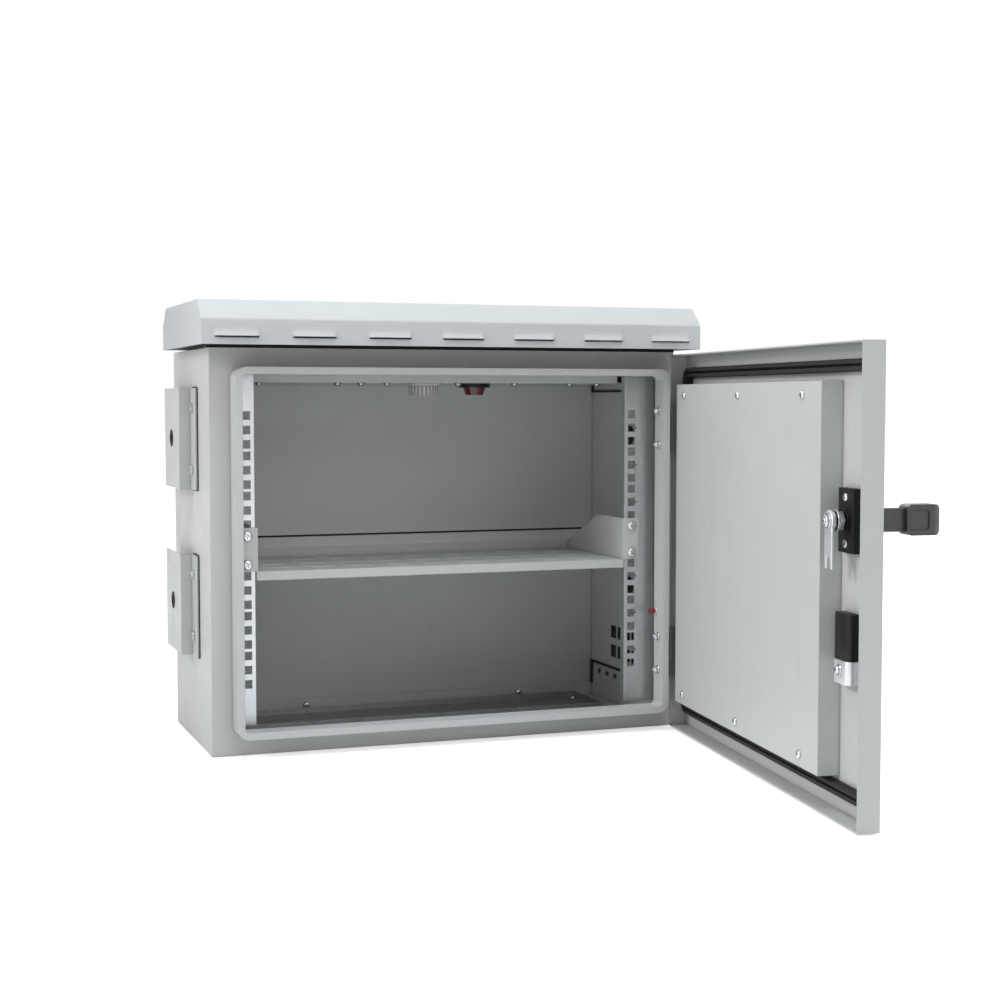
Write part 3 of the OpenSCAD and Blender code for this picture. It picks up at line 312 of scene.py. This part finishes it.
LOOKS = {
    "painted_sheet": (powder_coat, dict(colour=(0.590, 0.592, 0.588))),
    "painted_roof": (powder_coat, dict(colour=(0.600, 0.612, 0.622), specular=0.18, rough_low=0.58)),
    "galvanised_steel": (galvanised, dict(dark=(0.50, 0.53, 0.55), light=(0.64, 0.67, 0.69),
                                          rough=(0.28, 0.40))),
    "zinc_fastener": (plated, dict(dark=(0.60, 0.61, 0.62), light=(0.74, 0.75, 0.76), rough=(0.18, 0.28),
                                   painted_crevice_shade=0.12)),
    "zinc_plate": (plated, dict(dark=(0.72, 0.73, 0.74), light=(0.80, 0.81, 0.82), rough=(0.32, 0.42),
                                painted_crevice_shade=0.6, metallic=0.55)),
    "black_plastic": (moulded, dict(dark=(0.005, 0.005, 0.006), light=(0.010, 0.010, 0.011), rough=(0.38, 0.52),
                                    grain=700.0, strength=0.16, edge_wear_and_highlight=0.35, specular=0.28)),
    "dark_grey_casting": (moulded, dict(dark=(0.040, 0.042, 0.045), light=(0.064, 0.066, 0.070),
                                        rough=(0.34, 0.48), grain=900.0, strength=0.22, edge_wear_and_highlight=0.12,
                                        painted_crevice_shade=0.3)),
    "black_rubber": (foam, dict(dark=(0.018, 0.018, 0.019), light=(0.044, 0.044, 0.046))),
    "light_grey_plastic": (moulded, dict(dark=(0.55, 0.55, 0.53), light=(0.66, 0.66, 0.64), rough=(0.36, 0.5),
                                         strength=0.1, painted_crevice_shade=0.22)),
    "red_lens": (lens, dict(dark=(0.09, 0.004, 0.008), light=(0.20, 0.008, 0.014))),
    "white_plastic": (moulded, dict(dark=(0.72, 0.72, 0.70), light=(0.82, 0.82, 0.80), rough=(0.28, 0.4))),
    "red_plastic": (moulded, dict(dark=(0.22, 0.016, 0.012), light=(0.31, 0.028, 0.02), rough=(0.28, 0.4),
                                  edge_wear_and_highlight=0.3)),
}
mats = {name: maker(name, **looks) for name, (maker, looks) in LOOKS.items()}
for subpart in frame["record"]["subparts"]:
    dress(subpart["node"], mats[subpart["material_slot"]])

# painted shade and reflection: the gland tray is painted duller than the left rail, the right rail and the hinges
# are painted darker than it, and the screws in the ceiling are painted dim, for the shade and dark reflections on
# them; the tray's edges are painted much lighter, a painted highlight
tray_shade_zinc = galvanised("tray_shade_galvanised_steel", (0.25, 0.255, 0.26), (0.35, 0.355, 0.36), (0.42, 0.55),
                       edge_wear_and_highlight=2.0)
rail_and_hinge_shade_zinc = galvanised("rail_and_hinge_shade_galvanised_steel", (0.45, 0.47, 0.475), (0.58, 0.60, 0.605), (0.30, 0.42),
                         edge_wear_and_highlight=1.5)
ceiling_screw_shade_zinc = plated("ceiling_screw_shade_zinc_fastener", (0.26, 0.27, 0.28), (0.36, 0.37, 0.38), (0.26, 0.36), painted_crevice_shade=0.12)
dress("gland_plate", tray_shade_zinc)
for name in ("right_rail", "hinge_leaf_high", "hinge_leaf_low", "door_leaf_high", "door_leaf_low",
             "hinge_pins"):
    dress(name, rail_and_hinge_shade_zinc)

# ---- shapes: sizes are in metres, apart from outlines in millimetres ----
MM = 0.001
UP = Vector((0, 0, 1))
SHARP = math.radians(32)


def linked(name, data):
    """A scene object that holds a mesh or a lamp."""
    made = bpy.data.objects.new(name, data)
    scene.collection.objects.link(made)
    return made


def add_piece(name, mesh, body, slot, *instead_of, mat=None, flat_from=1.0):
    """Adds a piece that rides on a body. Faces of flat_from square metres and more are shaded flat."""
    piece = linked(name, mesh)
    mesh.materials.append(mat or mats[slot])
    for poly in mesh.polygons:
        poly.use_smooth = poly.area < flat_from
    mesh.set_sharp_from_angle(angle=SHARP)
    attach(piece, body)
    if instead_of:
        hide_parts(*instead_of)


def finished(bm, name):
    """The mesh of a bmesh, which is then freed."""
    mesh = bpy.data.meshes.new(name)
    bm.to_mesh(mesh)
    bm.free()
    return mesh


def closed(bm, name):
    """The same with all faces turned outwards."""
    bmesh.ops.recalc_face_normals(bm, faces=bm.faces)
    return finished(bm, name)


def towards(axis):
    """The rotation that turns z to an axis."""
    return Vector(axis).to_track_quat("Z", "Y").to_matrix().to_4x4()


def join_rows(bm, rows):
    """Adds the faces between neighbouring rows of points, each row a closed loop."""
    faces = []
    for low, high in zip(rows, rows[1:]):
        for i in range(len(low)):
            j = (i + 1) % len(low)
            faces.append(bm.faces.new((low[i], low[j], high[j], high[i])))
    return faces


def drawn_out(bm, ends):
    """Adds the solid between two loops of points and returns its faces, the two ends first."""
    faces = [bm.faces.new(ends[0]), bm.faces.new(list(reversed(ends[1])))]
    faces += join_rows(bm, ends)
    bmesh.ops.recalc_face_normals(bm, faces=faces)
    return faces


def circle(bm, r, z, sides, twist=0.0, place=Matrix()):
    """Adds points on a circle round z, moved by place."""
    angles = [2*math.pi*i/sides + twist for i in range(sides)]
    return [bm.verts.new(place @ Vector((r*math.cos(a), r*math.sin(a), z))) for a in angles]


def turned(bm, rings, sides=28, twist=0.0):
    """Adds a closed solid turned from (radius, height) rings, from bottom to top."""
    rows = [circle(bm, r, z, sides, twist) for r, z in rings]
    join_rows(bm, rows)
    bm.faces.new(list(reversed(rows[0])))
    bm.faces.new(rows[-1])


def ring(bm, centre, axis, half, sides=36):
    """Adds a closed ring round an axis; half has its (radius, height) points and is mirrored in height."""
    place = Matrix.Translation(centre) @ towards(axis)
    loop = [(r, -z) for r, z in half] + [(r, z) for r, z in reversed(half)]
    rows = [circle(bm, r, z, sides, place=place) for r, z in loop]
    join_rows(bm, rows + rows[:1])


def add_box(bm, centre, size):
    bmesh.ops.create_cube(bm, size=1.0, matrix=Matrix.Translation(centre) @ Matrix.Diagonal((*size, 1.0)))


def carved(body, *tools, use_self=False):
    """The mesh of an object with others taken out of it. All these objects are then removed."""
    for tool in tools:
        mod = body.modifiers.new(tool.name, "BOOLEAN")
        mod.object = tool
        mod.operation = "DIFFERENCE"
        mod.solver = "EXACT"
        mod.use_self = use_self
    bpy.context.view_layer.update()
    result = bpy.data.meshes.new_from_object(body.evaluated_get(bpy.context.evaluated_depsgraph_get()))
    for made in (body, *tools):
        bpy.data.objects.remove(made)
    return result


def cut(mesh, *boxes):
    """The mesh with boxes (centre, size) taken out of it."""
    bm = bmesh.new()
    for centre, size in boxes:
        add_box(bm, centre, size)
    return carved(linked("cut_body", mesh), linked("cut_tool", finished(bm, "cut_tool")), use_self=True)


# ---- fasteners: domed and hexagonal heads, some with washers, where the CAD has plain solids ----
DOME_REACH = 0.97                       # share of the quarter turn that a dome takes; a small flat closes it
DOME_POWER = 0.55                       # below 1, so the dome is fuller than a ball
WASHER_THICK, WASHER_SINK = 0.0011, 0.0001
FIRST_TURN, NEXT_TURN = 0.5, 0.9        # the drives of a set don't all point the same way


def islands(node):
    """The loose solids of a CAD node, as lists of points."""
    mesh = nodes[node].data
    keys = [tuple(round(c, 5) for c in v.co) for v in mesh.vertices]
    root = {k: k for k in keys}

    def find(k):
        while root[k] != k:
            root[k] = root[root[k]]
            k = root[k]
        return k

    for poly in mesh.polygons:
        first = find(keys[poly.vertices[0]])
        for v in poly.vertices[1:]:
            root[find(keys[v])] = first
    groups = {}
    for k in root:
        groups.setdefault(find(k), []).append(Vector(k))
    return list(groups.values())


def middle(values):
    return (min(values) + max(values))/2


def domed(radius, low, high, steps=7):
    """Rings of a rounded head from its foot to its top."""
    angles = [k/steps*math.pi/2*DOME_REACH for k in range(steps + 1)]
    return [(radius*math.cos(a)**DOME_POWER, low + (high - low)*math.sin(a)) for a in angles]


def fastener(head_r, head_h, shank_r, shank_l, washer_r=0.0, drive="cross"):
    """One screw standing on z = 0, its shank below it."""
    bm = bmesh.new()
    foot = 0.0
    if washer_r:
        turned(bm, [(washer_r - 0.0003, 0.0), (washer_r, 0.0003), (washer_r, WASHER_THICK - 0.0004),
                    (washer_r - 0.0004, WASHER_THICK), (head_r*0.7, WASHER_THICK)], sides=32)
        foot = WASHER_THICK - WASHER_SINK
    if drive == "hex":
        corner = head_r*1.12
        turned(bm, [(head_r, foot), (corner, foot + 0.0003), (corner, head_h - 0.0008), (head_r*0.94, head_h)],
               sides=6, twist=0.3)
        turned(bm, [(shank_r, head_h - 0.0005), (shank_r, head_h + 0.0007),
                    (shank_r - 0.0005, head_h + 0.0011)], sides=20)
    else:
        turned(bm, [(head_r, foot)] + domed(head_r, foot + head_h*0.22, head_h))
    turned(bm, [(shank_r - 0.0004, -shank_l), (shank_r, -shank_l + 0.0005), (shank_r, 0.0002)], sides=16)
    mesh = finished(bm, "fastener")
    if drive == "cross":
        top = (0, 0, head_h)
        arm, width, deep = head_r*1.15, head_r*0.24, head_h*0.62
        mesh = cut(mesh, (top, (arm, width, deep)), (top, (width, arm, deep)))
    return mesh


def screw_set(node, body, axis, head_r, head_h, shank_r, tip=0.0, mat=None, **looks):
    """Puts one fastener where each loose solid of the node is, its head towards axis."""
    axis = Vector(axis).normalized()
    side = axis.orthogonal().normalized()
    other = axis.cross(side)
    bm = bmesh.new()
    for i, points in enumerate(islands(node)):
        along = [p.dot(axis) for p in points]
        foot = max(along) - tip - head_h
        u, v = middle([p.dot(side) for p in points]), middle([p.dot(other) for p in points])
        one = fastener(head_r, head_h, shank_r, foot - min(along), **looks)
        turn = Matrix.Rotation(FIRST_TURN + NEXT_TURN*i, 4, "Z")
        one.transform(Matrix.Translation(side*u + other*v + axis*foot) @ towards(axis) @ turn)
        bm.from_mesh(one)
        bpy.data.meshes.remove(one)
    add_piece(node + "_detail", finished(bm, node + "_detail"), body, "zinc_fastener", node, mat=mat)


into = Vector(next(j for j in frame["joints"] if j["name"] == "handle_turn")["axis"])
screw_set("cover_screws", "door", into, head_r=0.00425, head_h=0.0028, shank_r=0.0021)
screw_set("lock_screws", "door", into, head_r=0.0040, head_h=0.0025, shank_r=0.0021)
screw_set("clamp_screw", "door", into, head_r=0.0040, head_h=0.0045, shank_r=0.0026, washer_r=0.0055)
screw_set("shelf_screws", "cabinet", (0, -1, 0), head_r=0.0052, head_h=0.0035, shank_r=0.0029, washer_r=0.0055)
screw_set("hinge_screws", "cabinet", (-1, 0, 0), head_r=0.00375, head_h=0.0050, shank_r=0.0021, tip=0.001,
          washer_r=0.00525, drive="hex")
screw_set("ceiling_screws", "cabinet", (0, 0, -1), head_r=0.00425, head_h=0.0040, shank_r=0.0021, mat=ceiling_screw_shade_zinc)
screw_set("floor_screws", "cabinet", (0, -1, 0), head_r=0.0045, head_h=0.0035, shank_r=0.0021)
screw_set("gland_screws", "cabinet", (0, 0, 1), head_r=0.0040, head_h=0.0030, shank_r=0.0021)

# ---- black rubber bushes in the bracket holes ----
BUSH = [(0.0052, 0.0013), (0.0058, 0.0018), (0.0096, 0.0018), (0.0100, 0.0014), (0.0100, 0.0011),
        (0.0089, 0.0010)]
bm = bmesh.new()
for mount in frame["record"]["mounts"]:
    if mount["kind"] == "bolt_pattern":
        x, y, z = mount["pos_m"]
        half_spacing = mount["dims"]["spacing_y_mm"]*MM/2
        for hole_z in (z - half_spacing, z + half_spacing):
            ring(bm, (x, y, hole_z), (1, 0, 0), BUSH)
add_piece("bracket_bushes", closed(bm, "bracket_bushes"), "cabinet", "black_rubber")

# ---- painted shade: a black D-shaped strip along the front edge of the body's top, under the roof, stands for the shade in the gap there ----
SHADE_STRIP_HALF, SHADE_STRIP_TALL, SHADE_STRIP_FOOT = 0.0030, 0.0042, 0.35
SHADE_STRIP_STEPS = 10
SHADE_STRIP_BACK, SHADE_STRIP_GAP = 0.0045, 0.00005   # behind the top's front edge, and above its face
top_lo, top_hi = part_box("top_panel")
strip_y, strip_z = top_lo[1] + SHADE_STRIP_BACK, top_hi[2] + SHADE_STRIP_GAP
angles = [math.pi*k/SHADE_STRIP_STEPS for k in range(SHADE_STRIP_STEPS + 1)]
profile = [(-SHADE_STRIP_HALF, 0.0)]
profile += [(-SHADE_STRIP_HALF*math.cos(a), SHADE_STRIP_TALL*(SHADE_STRIP_FOOT + (1 - SHADE_STRIP_FOOT)*math.sin(a))) for a in angles]
profile += [(SHADE_STRIP_HALF, 0.0)]
left, right = top_lo[0], top_hi[0]
taper = [(left - 0.003, 0.72), (left - 0.0015, 0.93), (left + 0.001, 1.0),
         (right + 0.006, 1.0), (right + 0.0085, 0.93), (right + 0.010, 0.72)]
bm = bmesh.new()
rows = [[bm.verts.new((x, strip_y + u*k, strip_z + v*k)) for u, v in profile] for x, k in taper]
join_rows(bm, rows)
bm.faces.new(rows[0])
bm.faces.new(rows[-1])
add_piece("roof_shade_strip", closed(bm, "roof_shade_strip"), "cabinet", "black_rubber")

# ---- lock parts, drawn in the door's own axes: x across, y inwards from the door's face, z up ----
WASHER_IN = 0.0225                      # from the door's face to the spindle's washer
DOOR_INSIDE = 1.55                      # just above the inside of the door's skin, in mm
INWARDS = (0, 1, 0)
across = into.cross(UP)
hub = islands("spindle_washer")[0]
hub_in = min(p.dot(into) for p in hub) - WASHER_IN
on_spindle = across*middle([p.dot(across) for p in hub]) + into*hub_in + UP*middle([p.z for p in hub])
on_door = Matrix.Translation(on_spindle) @ Matrix((across, into, UP)).transposed().to_4x4()


def prism(bm, outline, low, high, bevel, along="y", steps=3):
    """Adds an outline, drawn out along y or z, with rounded edges at both ends, all in millimetres."""
    ends = []
    for c in (low, high):
        points = [(a, c, b) if along == "y" else (a, b, c) for a, b in outline]
        ends.append([bm.verts.new(Vector(p)*MM) for p in points])
    faces = drawn_out(bm, ends)
    edges = {e for f in faces[:2] for e in f.edges}
    bmesh.ops.bevel(bm, geom=list(edges), offset=bevel*MM, segments=steps, profile=0.5, affect="EDGES")


def arc(x, y, r, start, end, steps):
    """Points on an arc, its angles in degrees."""
    angles = [math.radians(start + (end - start)*k/steps) for k in range(steps + 1)]
    return [(x + r*math.cos(a), y + r*math.sin(a)) for a in angles]


def add_lock_piece(node, mesh, body, slot, flat_from=1.0):
    """Moves a mesh from the door's axes to its place and puts it instead of the node."""
    mesh.transform(on_door)
    add_piece(node + "_detail", mesh, body, slot, node, flat_from=flat_from)


# the lever: a boss on the spindle and a forked arm
bm = bmesh.new()
ring(bm, (0, 0.0260, 0), INWARDS, [(0.0031, 0.0014), (0.0094, 0.0015), (0.0100, 0.0009)])
fork = [(-8.6, -7.0), (-8.6, -36.0)] + arc(-6.4, -42.6, 2.4, 180, 360, 8) + arc(0.0, -36.6, 3.4, 180, 0, 8)
fork += arc(6.4, -42.6, 2.4, 180, 360, 8) + [(8.6, -36.0), (8.6, -7.0)] + arc(0.0, 0.0, 5.2, -40, -140, 6)
prism(bm, fork, 24.7, 27.3, bevel=0.6)
add_lock_piece("cam_lever", closed(bm, "cam_lever_detail"), "spindle", "zinc_plate", flat_from=2e-6)

# two washers and a nut on the spindle, between the door and the lever
bm = bmesh.new()
ring(bm, (0, 0.0235, 0), INWARDS, [(0.00605, 0.0009), (0.0090, 0.0009), (0.0095, 0.0004)])
ring(bm, (0, 0.0205, 0), INWARDS, [(0.00605, 0.0006), (0.0099, 0.0006), (0.0103, 0.0002)])
ring(bm, (0, 0.0165, 0), INWARDS, [(0.0071, 0.0030), (0.0088, 0.0030), (0.0098, 0.0023)], sides=6)
add_lock_piece("spindle_washer", closed(bm, "spindle_washer_detail"), "spindle", "zinc_fastener")
screw_set("cam_bolt", "spindle", into, head_r=0.0052, head_h=0.0035, shank_r=0.0029, tip=0.001,
          washer_r=0.0074, drive="hex")

# the rounded clamp block with its pocket
block = [(-17.0, DOOR_INSIDE)] + arc(-12.0, 8.5, 5.0, 180, 90, 8)
block += arc(12.0, 8.5, 5.0, 90, 0, 8) + [(17.0, DOOR_INSIDE)]
bm = bmesh.new()
prism(bm, block, -130.0, -86.0, bevel=1.0, along="z")
pocket = ((0, 0.0058, -0.110), (0.0088, 0.0097, 0.0088))
add_lock_piece("clamp_block", cut(closed(bm, "clamp_block_detail"), pocket), "door", "black_plastic",
               flat_from=2e-6)

# the bent band below it, with a hole for its screw
band = [(-17.0, DOOR_INSIDE)] + arc(-10.5, 8.0, 6.5, 180, 90, 12)
band += arc(10.5, 8.0, 6.5, 90, 0, 12) + [(17.0, DOOR_INSIDE)]
band += [(15.0, DOOR_INSIDE)] + arc(10.5, 8.0, 4.5, 0, 90, 12)
band += arc(-10.5, 8.0, 4.5, 90, 180, 12) + [(-15.0, DOOR_INSIDE)]
bm = bmesh.new()
prism(bm, band, -152.0, -130.05, bevel=0.3, along="z", steps=2)
screw_hole = ((0, 0.0135, -0.139), (0.0054, 0.006, 0.0054))
add_lock_piece("clamp_band", cut(closed(bm, "clamp_band_detail"), screw_hole), "door", "zinc_plate",
               flat_from=4e-5)

# ---- the roof again, with bent edges and hoods that rise softly out of the front band ----
SKIN = 0.0015                           # sheet thickness
BAND_TALL, INNER_TALL = 0.0275, 0.0269  # height of the front and back bands, outside and inside
SLOPE_RUN, INNER_RUN = 0.022, 0.0219    # depth of the sloped strips, outside and inside
OPEN_BELOW = 0.01                       # the hollow reaches out below, so the roof is open there
LIP_RISE = 0.009                        # from the roof's lower edge to the hoods' lips
HOODS = 7
HOOD_WIDE, HOOD_TALL, HOOD_OUT = 0.0505, 0.0095, 0.0034
HOOD_INSET = 0.0385                     # from the roof's end to the middle of the first hood
HOOD_END = 0.0040                       # length over which a hood falls off at each end
HOOD_FADE = 1.7                         # how soon a hood falls back to the band above its lip
HOOD_SHEET, HOOD_ROOT = 0.0010, 0.0008  # its thickness, and how deep its inside sinks into the band
HOOD_LIFT = 0.00003                     # keeps its outside just in front of the band
COLUMNS, LINES = 40, 12                 # faces of a hood, across and up
SLOT_SIZE, SLOT_RISE = (0.0470, 0.01, 0.0050), 0.0009
TINY = 1e-6


def folded(y0, y1, low, mid, top, run, half, bend, end, name):
    """The roof's outline as a solid object whose long bends, and ends if asked, are rounded."""
    bm = bmesh.new()
    outline = ((y0, low), (y0, mid), (y0 + run, top), (y1 - run, top), (y1, mid), (y1, low))
    drawn_out(bm, [[bm.verts.new((x, y, z)) for y, z in outline] for x in (-half, half)])

    def above(edge):
        return max(v.co.z for v in edge.verts) > low + 0.001

    def length_x(edge):
        return abs(edge.verts[0].co.x - edge.verts[1].co.x)

    bends = [e for e in bm.edges if above(e) and length_x(e) > 0.01]
    bmesh.ops.bevel(bm, geom=bends, offset=bend, segments=5, profile=0.5, affect="EDGES")
    if end:
        caps = [e for e in bm.edges
                if above(e) and length_x(e) < TINY and abs(abs(e.verts[0].co.x) - half) < TINY]
        bmesh.ops.bevel(bm, geom=caps, offset=end, segments=3, profile=0.5, affect="EDGES")
    return linked(name, closed(bm, name))


def add_hood(bm, hood_x, band_y, lip_z):
    """Adds one hood: an outer and an inner skin, joined round their border."""
    skins = ([], [])
    for k in range(LINES + 1):
        up = k/LINES
        rows = ([], [])
        for c in range(COLUMNS + 1):
            x = (c/COLUMNS - 0.5)*HOOD_WIDE
            near_end = min(1.0, (HOOD_WIDE/2 - abs(x))/HOOD_END)
            rise = HOOD_OUT*(1 - up)**HOOD_FADE*near_end*near_end*(3 - 2*near_end)
            for row, out in zip(rows, (rise + HOOD_LIFT, max(rise - HOOD_SHEET, -HOOD_ROOT))):
                row.append(bm.verts.new((hood_x + x, band_y - out, lip_z + HOOD_TALL*up)))
        for skin, row in zip(skins, rows):
            skin.append(row)
    faces, borders = [], []
    for skin in skins:
        for a, b in zip(skin, skin[1:]):
            faces += [bm.faces.new((a[c], a[c + 1], b[c + 1], b[c])) for c in range(COLUMNS)]
        right_side, left_side = [row[-1] for row in skin[1:]], [row[0] for row in reversed(skin[1:-1])]
        borders.append(skin[0] + right_side + list(reversed(skin[-1][:-1])) + left_side)
    faces += join_rows(bm, borders)
    bmesh.ops.recalc_face_normals(bm, faces=faces)


roof_lo, roof_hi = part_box("roof")
roof_half, roof_base, roof_back, roof_top = roof_hi[0], roof_lo[2], roof_hi[1], roof_hi[2]
# the band's inside is the rearmost point of the roof's lower front edge
band_y = max(v.co.y for v in nodes["roof"].data.vertices
             if v.co.y < -0.1 and abs(v.co.z - roof_base) < 1e-5) - SKIN
lip_z = roof_base + LIP_RISE
pitch = 2*(roof_half - HOOD_INSET)/(HOODS - 1)
hood_places = [(i - (HOODS - 1)/2)*pitch for i in range(HOODS)]
shell = folded(band_y, roof_back, roof_base, roof_base + BAND_TALL, roof_top, SLOPE_RUN, roof_half,
               bend=0.0016, end=0.0009, name="roof_shell")
hollow = folded(band_y + SKIN, roof_back - SKIN, roof_base - OPEN_BELOW, roof_base + INNER_TALL,
                roof_top - SKIN, INNER_RUN, roof_half - SKIN, bend=0.0008, end=0.0, name="roof_hollow")
bm = bmesh.new()
for hood_x in hood_places:
    add_box(bm, (hood_x, band_y, lip_z + SLOT_RISE), SLOT_SIZE)
roof_mesh = carved(shell, hollow, linked("roof_slots", closed(bm, "roof_slots")))
bm = bmesh.new()
bm.from_mesh(roof_mesh)
for hood_x in hood_places:
    add_hood(bm, hood_x, band_y, lip_z)
add_piece("roof_detail", finished(bm, "roof_detail"), "cabinet", "painted_roof", "roof", flat_from=3e-6)

# ---- floor, world and lamps ----
FLOOR_HALF, FLOOR_DROP = 20.0, 0.0005
FLOOR_COLOUR = (0.88, 0.88, 0.88, 1.0)
GLOW_NEAR, GLOW_FAR = 0.50, 0.95        # the floor's glow near the object and far away
GLOW_FROM, GLOW_TO = 0.45, 1.8          # the distances between which it rises
WORLD_LIGHT = 0.36                      # what the white backdrop gives as light; it is seen at 1


def seen_directly(tree):
    """1 for rays from the camera and for mirrored ones, 0 for those that only carry light."""
    path = tree.nodes.new("ShaderNodeLightPath")
    seen = tree.nodes.new("ShaderNodeMath")
    seen.operation = "MAXIMUM"
    tree.links.new(path.outputs["Is Camera Ray"], seen.inputs[0])
    tree.links.new(path.outputs["Is Glossy Ray"], seen.inputs[1])
    return seen.outputs[0]


def floor_material():
    """A pale floor whose glow rises away from the object, so it fades into the white backdrop."""
    mat = bpy.data.materials.new("floor")
    mat.use_nodes = True
    nt = mat.node_tree
    nt.nodes.clear()
    out = nt.nodes.new("ShaderNodeOutputMaterial")
    both = nt.nodes.new("ShaderNodeAddShader")
    diffuse = nt.nodes.new("ShaderNodeBsdfDiffuse")
    diffuse.inputs["Color"].default_value = FLOOR_COLOUR
    glow = nt.nodes.new("ShaderNodeEmission")
    coords = nt.nodes.new("ShaderNodeTexCoord")
    away = nt.nodes.new("ShaderNodeVectorMath")
    away.operation = "LENGTH"
    nt.links.new(coords.outputs["Object"], away.inputs[0])
    strength = nt.nodes.new("ShaderNodeMath")
    strength.operation = "MULTIPLY"
    nt.links.new(seen_directly(nt), strength.inputs[0])
    rise = map_range(nt, away.outputs["Value"], GLOW_NEAR, GLOW_FAR, GLOW_FROM, GLOW_TO)
    nt.links.new(rise, strength.inputs[1])
    nt.links.new(strength.outputs[0], glow.inputs["Strength"])
    nt.links.new(diffuse.outputs[0], both.inputs[0])
    nt.links.new(glow.outputs[0], both.inputs[1])
    nt.links.new(both.outputs[0], out.inputs[0])
    return mat


floor_mesh = bpy.data.meshes.new("floor")
floor_corners = [(x*FLOOR_HALF, y*FLOOR_HALF, 0) for x, y in ((-1, -1), (1, -1), (1, 1), (-1, 1))]
floor_mesh.from_pydata(floor_corners, [], [(0, 1, 2, 3)])
floor_mesh.materials.append(floor_material())
floor = linked("floor", floor_mesh)
floor.location.z = -FLOOR_DROP

world = bpy.data.worlds.new("studio")
world.use_nodes = True
wt = world.node_tree
wt.nodes.clear()
w_out = wt.nodes.new("ShaderNodeOutputWorld")
w_bg = wt.nodes.new("ShaderNodeBackground")
w_bg.inputs["Color"].default_value = (*WHITE, 1.0)
wt.links.new(map_range(wt, seen_directly(wt), WORLD_LIGHT, 1.0), w_bg.inputs["Strength"])
wt.links.new(w_bg.outputs[0], w_out.inputs[0])
scene.world = world


def soft_box(name, place, aim, size, watts, colour=WHITE, spread=180.0):
    """A rectangular area lamp at place that looks at aim."""
    data = bpy.data.lights.new(name, "AREA")
    data.shape = "RECTANGLE"
    data.size, data.size_y = size
    data.energy = watts
    data.color = colour
    data.spread = math.radians(spread)
    lamp = linked(name, data)
    lamp.location = place
    dx, dy, dz = Vector(aim) - Vector(place)
    lamp.rotation_euler = (math.atan2(math.hypot(dx, dy), -dz), 0.0, math.atan2(-dx, dy))


BODY = (0.0, 0.0, 0.2)                  # where three of the lamps aim
soft_box("key", (-2.9, 0.25, 1.6), BODY, (1.8, 1.8), watts=10.0)
soft_box("front", (2.1, -4.6, 2.8), BODY, (2.6, 2.0), watts=39.0)
soft_box("door", (-1.6, -0.50, 1.2), (0.3, -0.42, 0.20), (0.5, 0.6), watts=1.12, spread=46.0)
soft_box("top", (0.0, -0.7, 2.9), (0.0, 0.0, 0.3), (2.4, 2.4), watts=54.0, colour=(0.86, 0.95, 1.0))
soft_box("rear", (0.8, 2.4, 1.6), BODY, (2.0, 1.4), watts=20.0)
soft_box("side", (2.6, 0.6, 1.4), (0.2, 0.0, 0.2), (1.6, 1.4), watts=16.0)
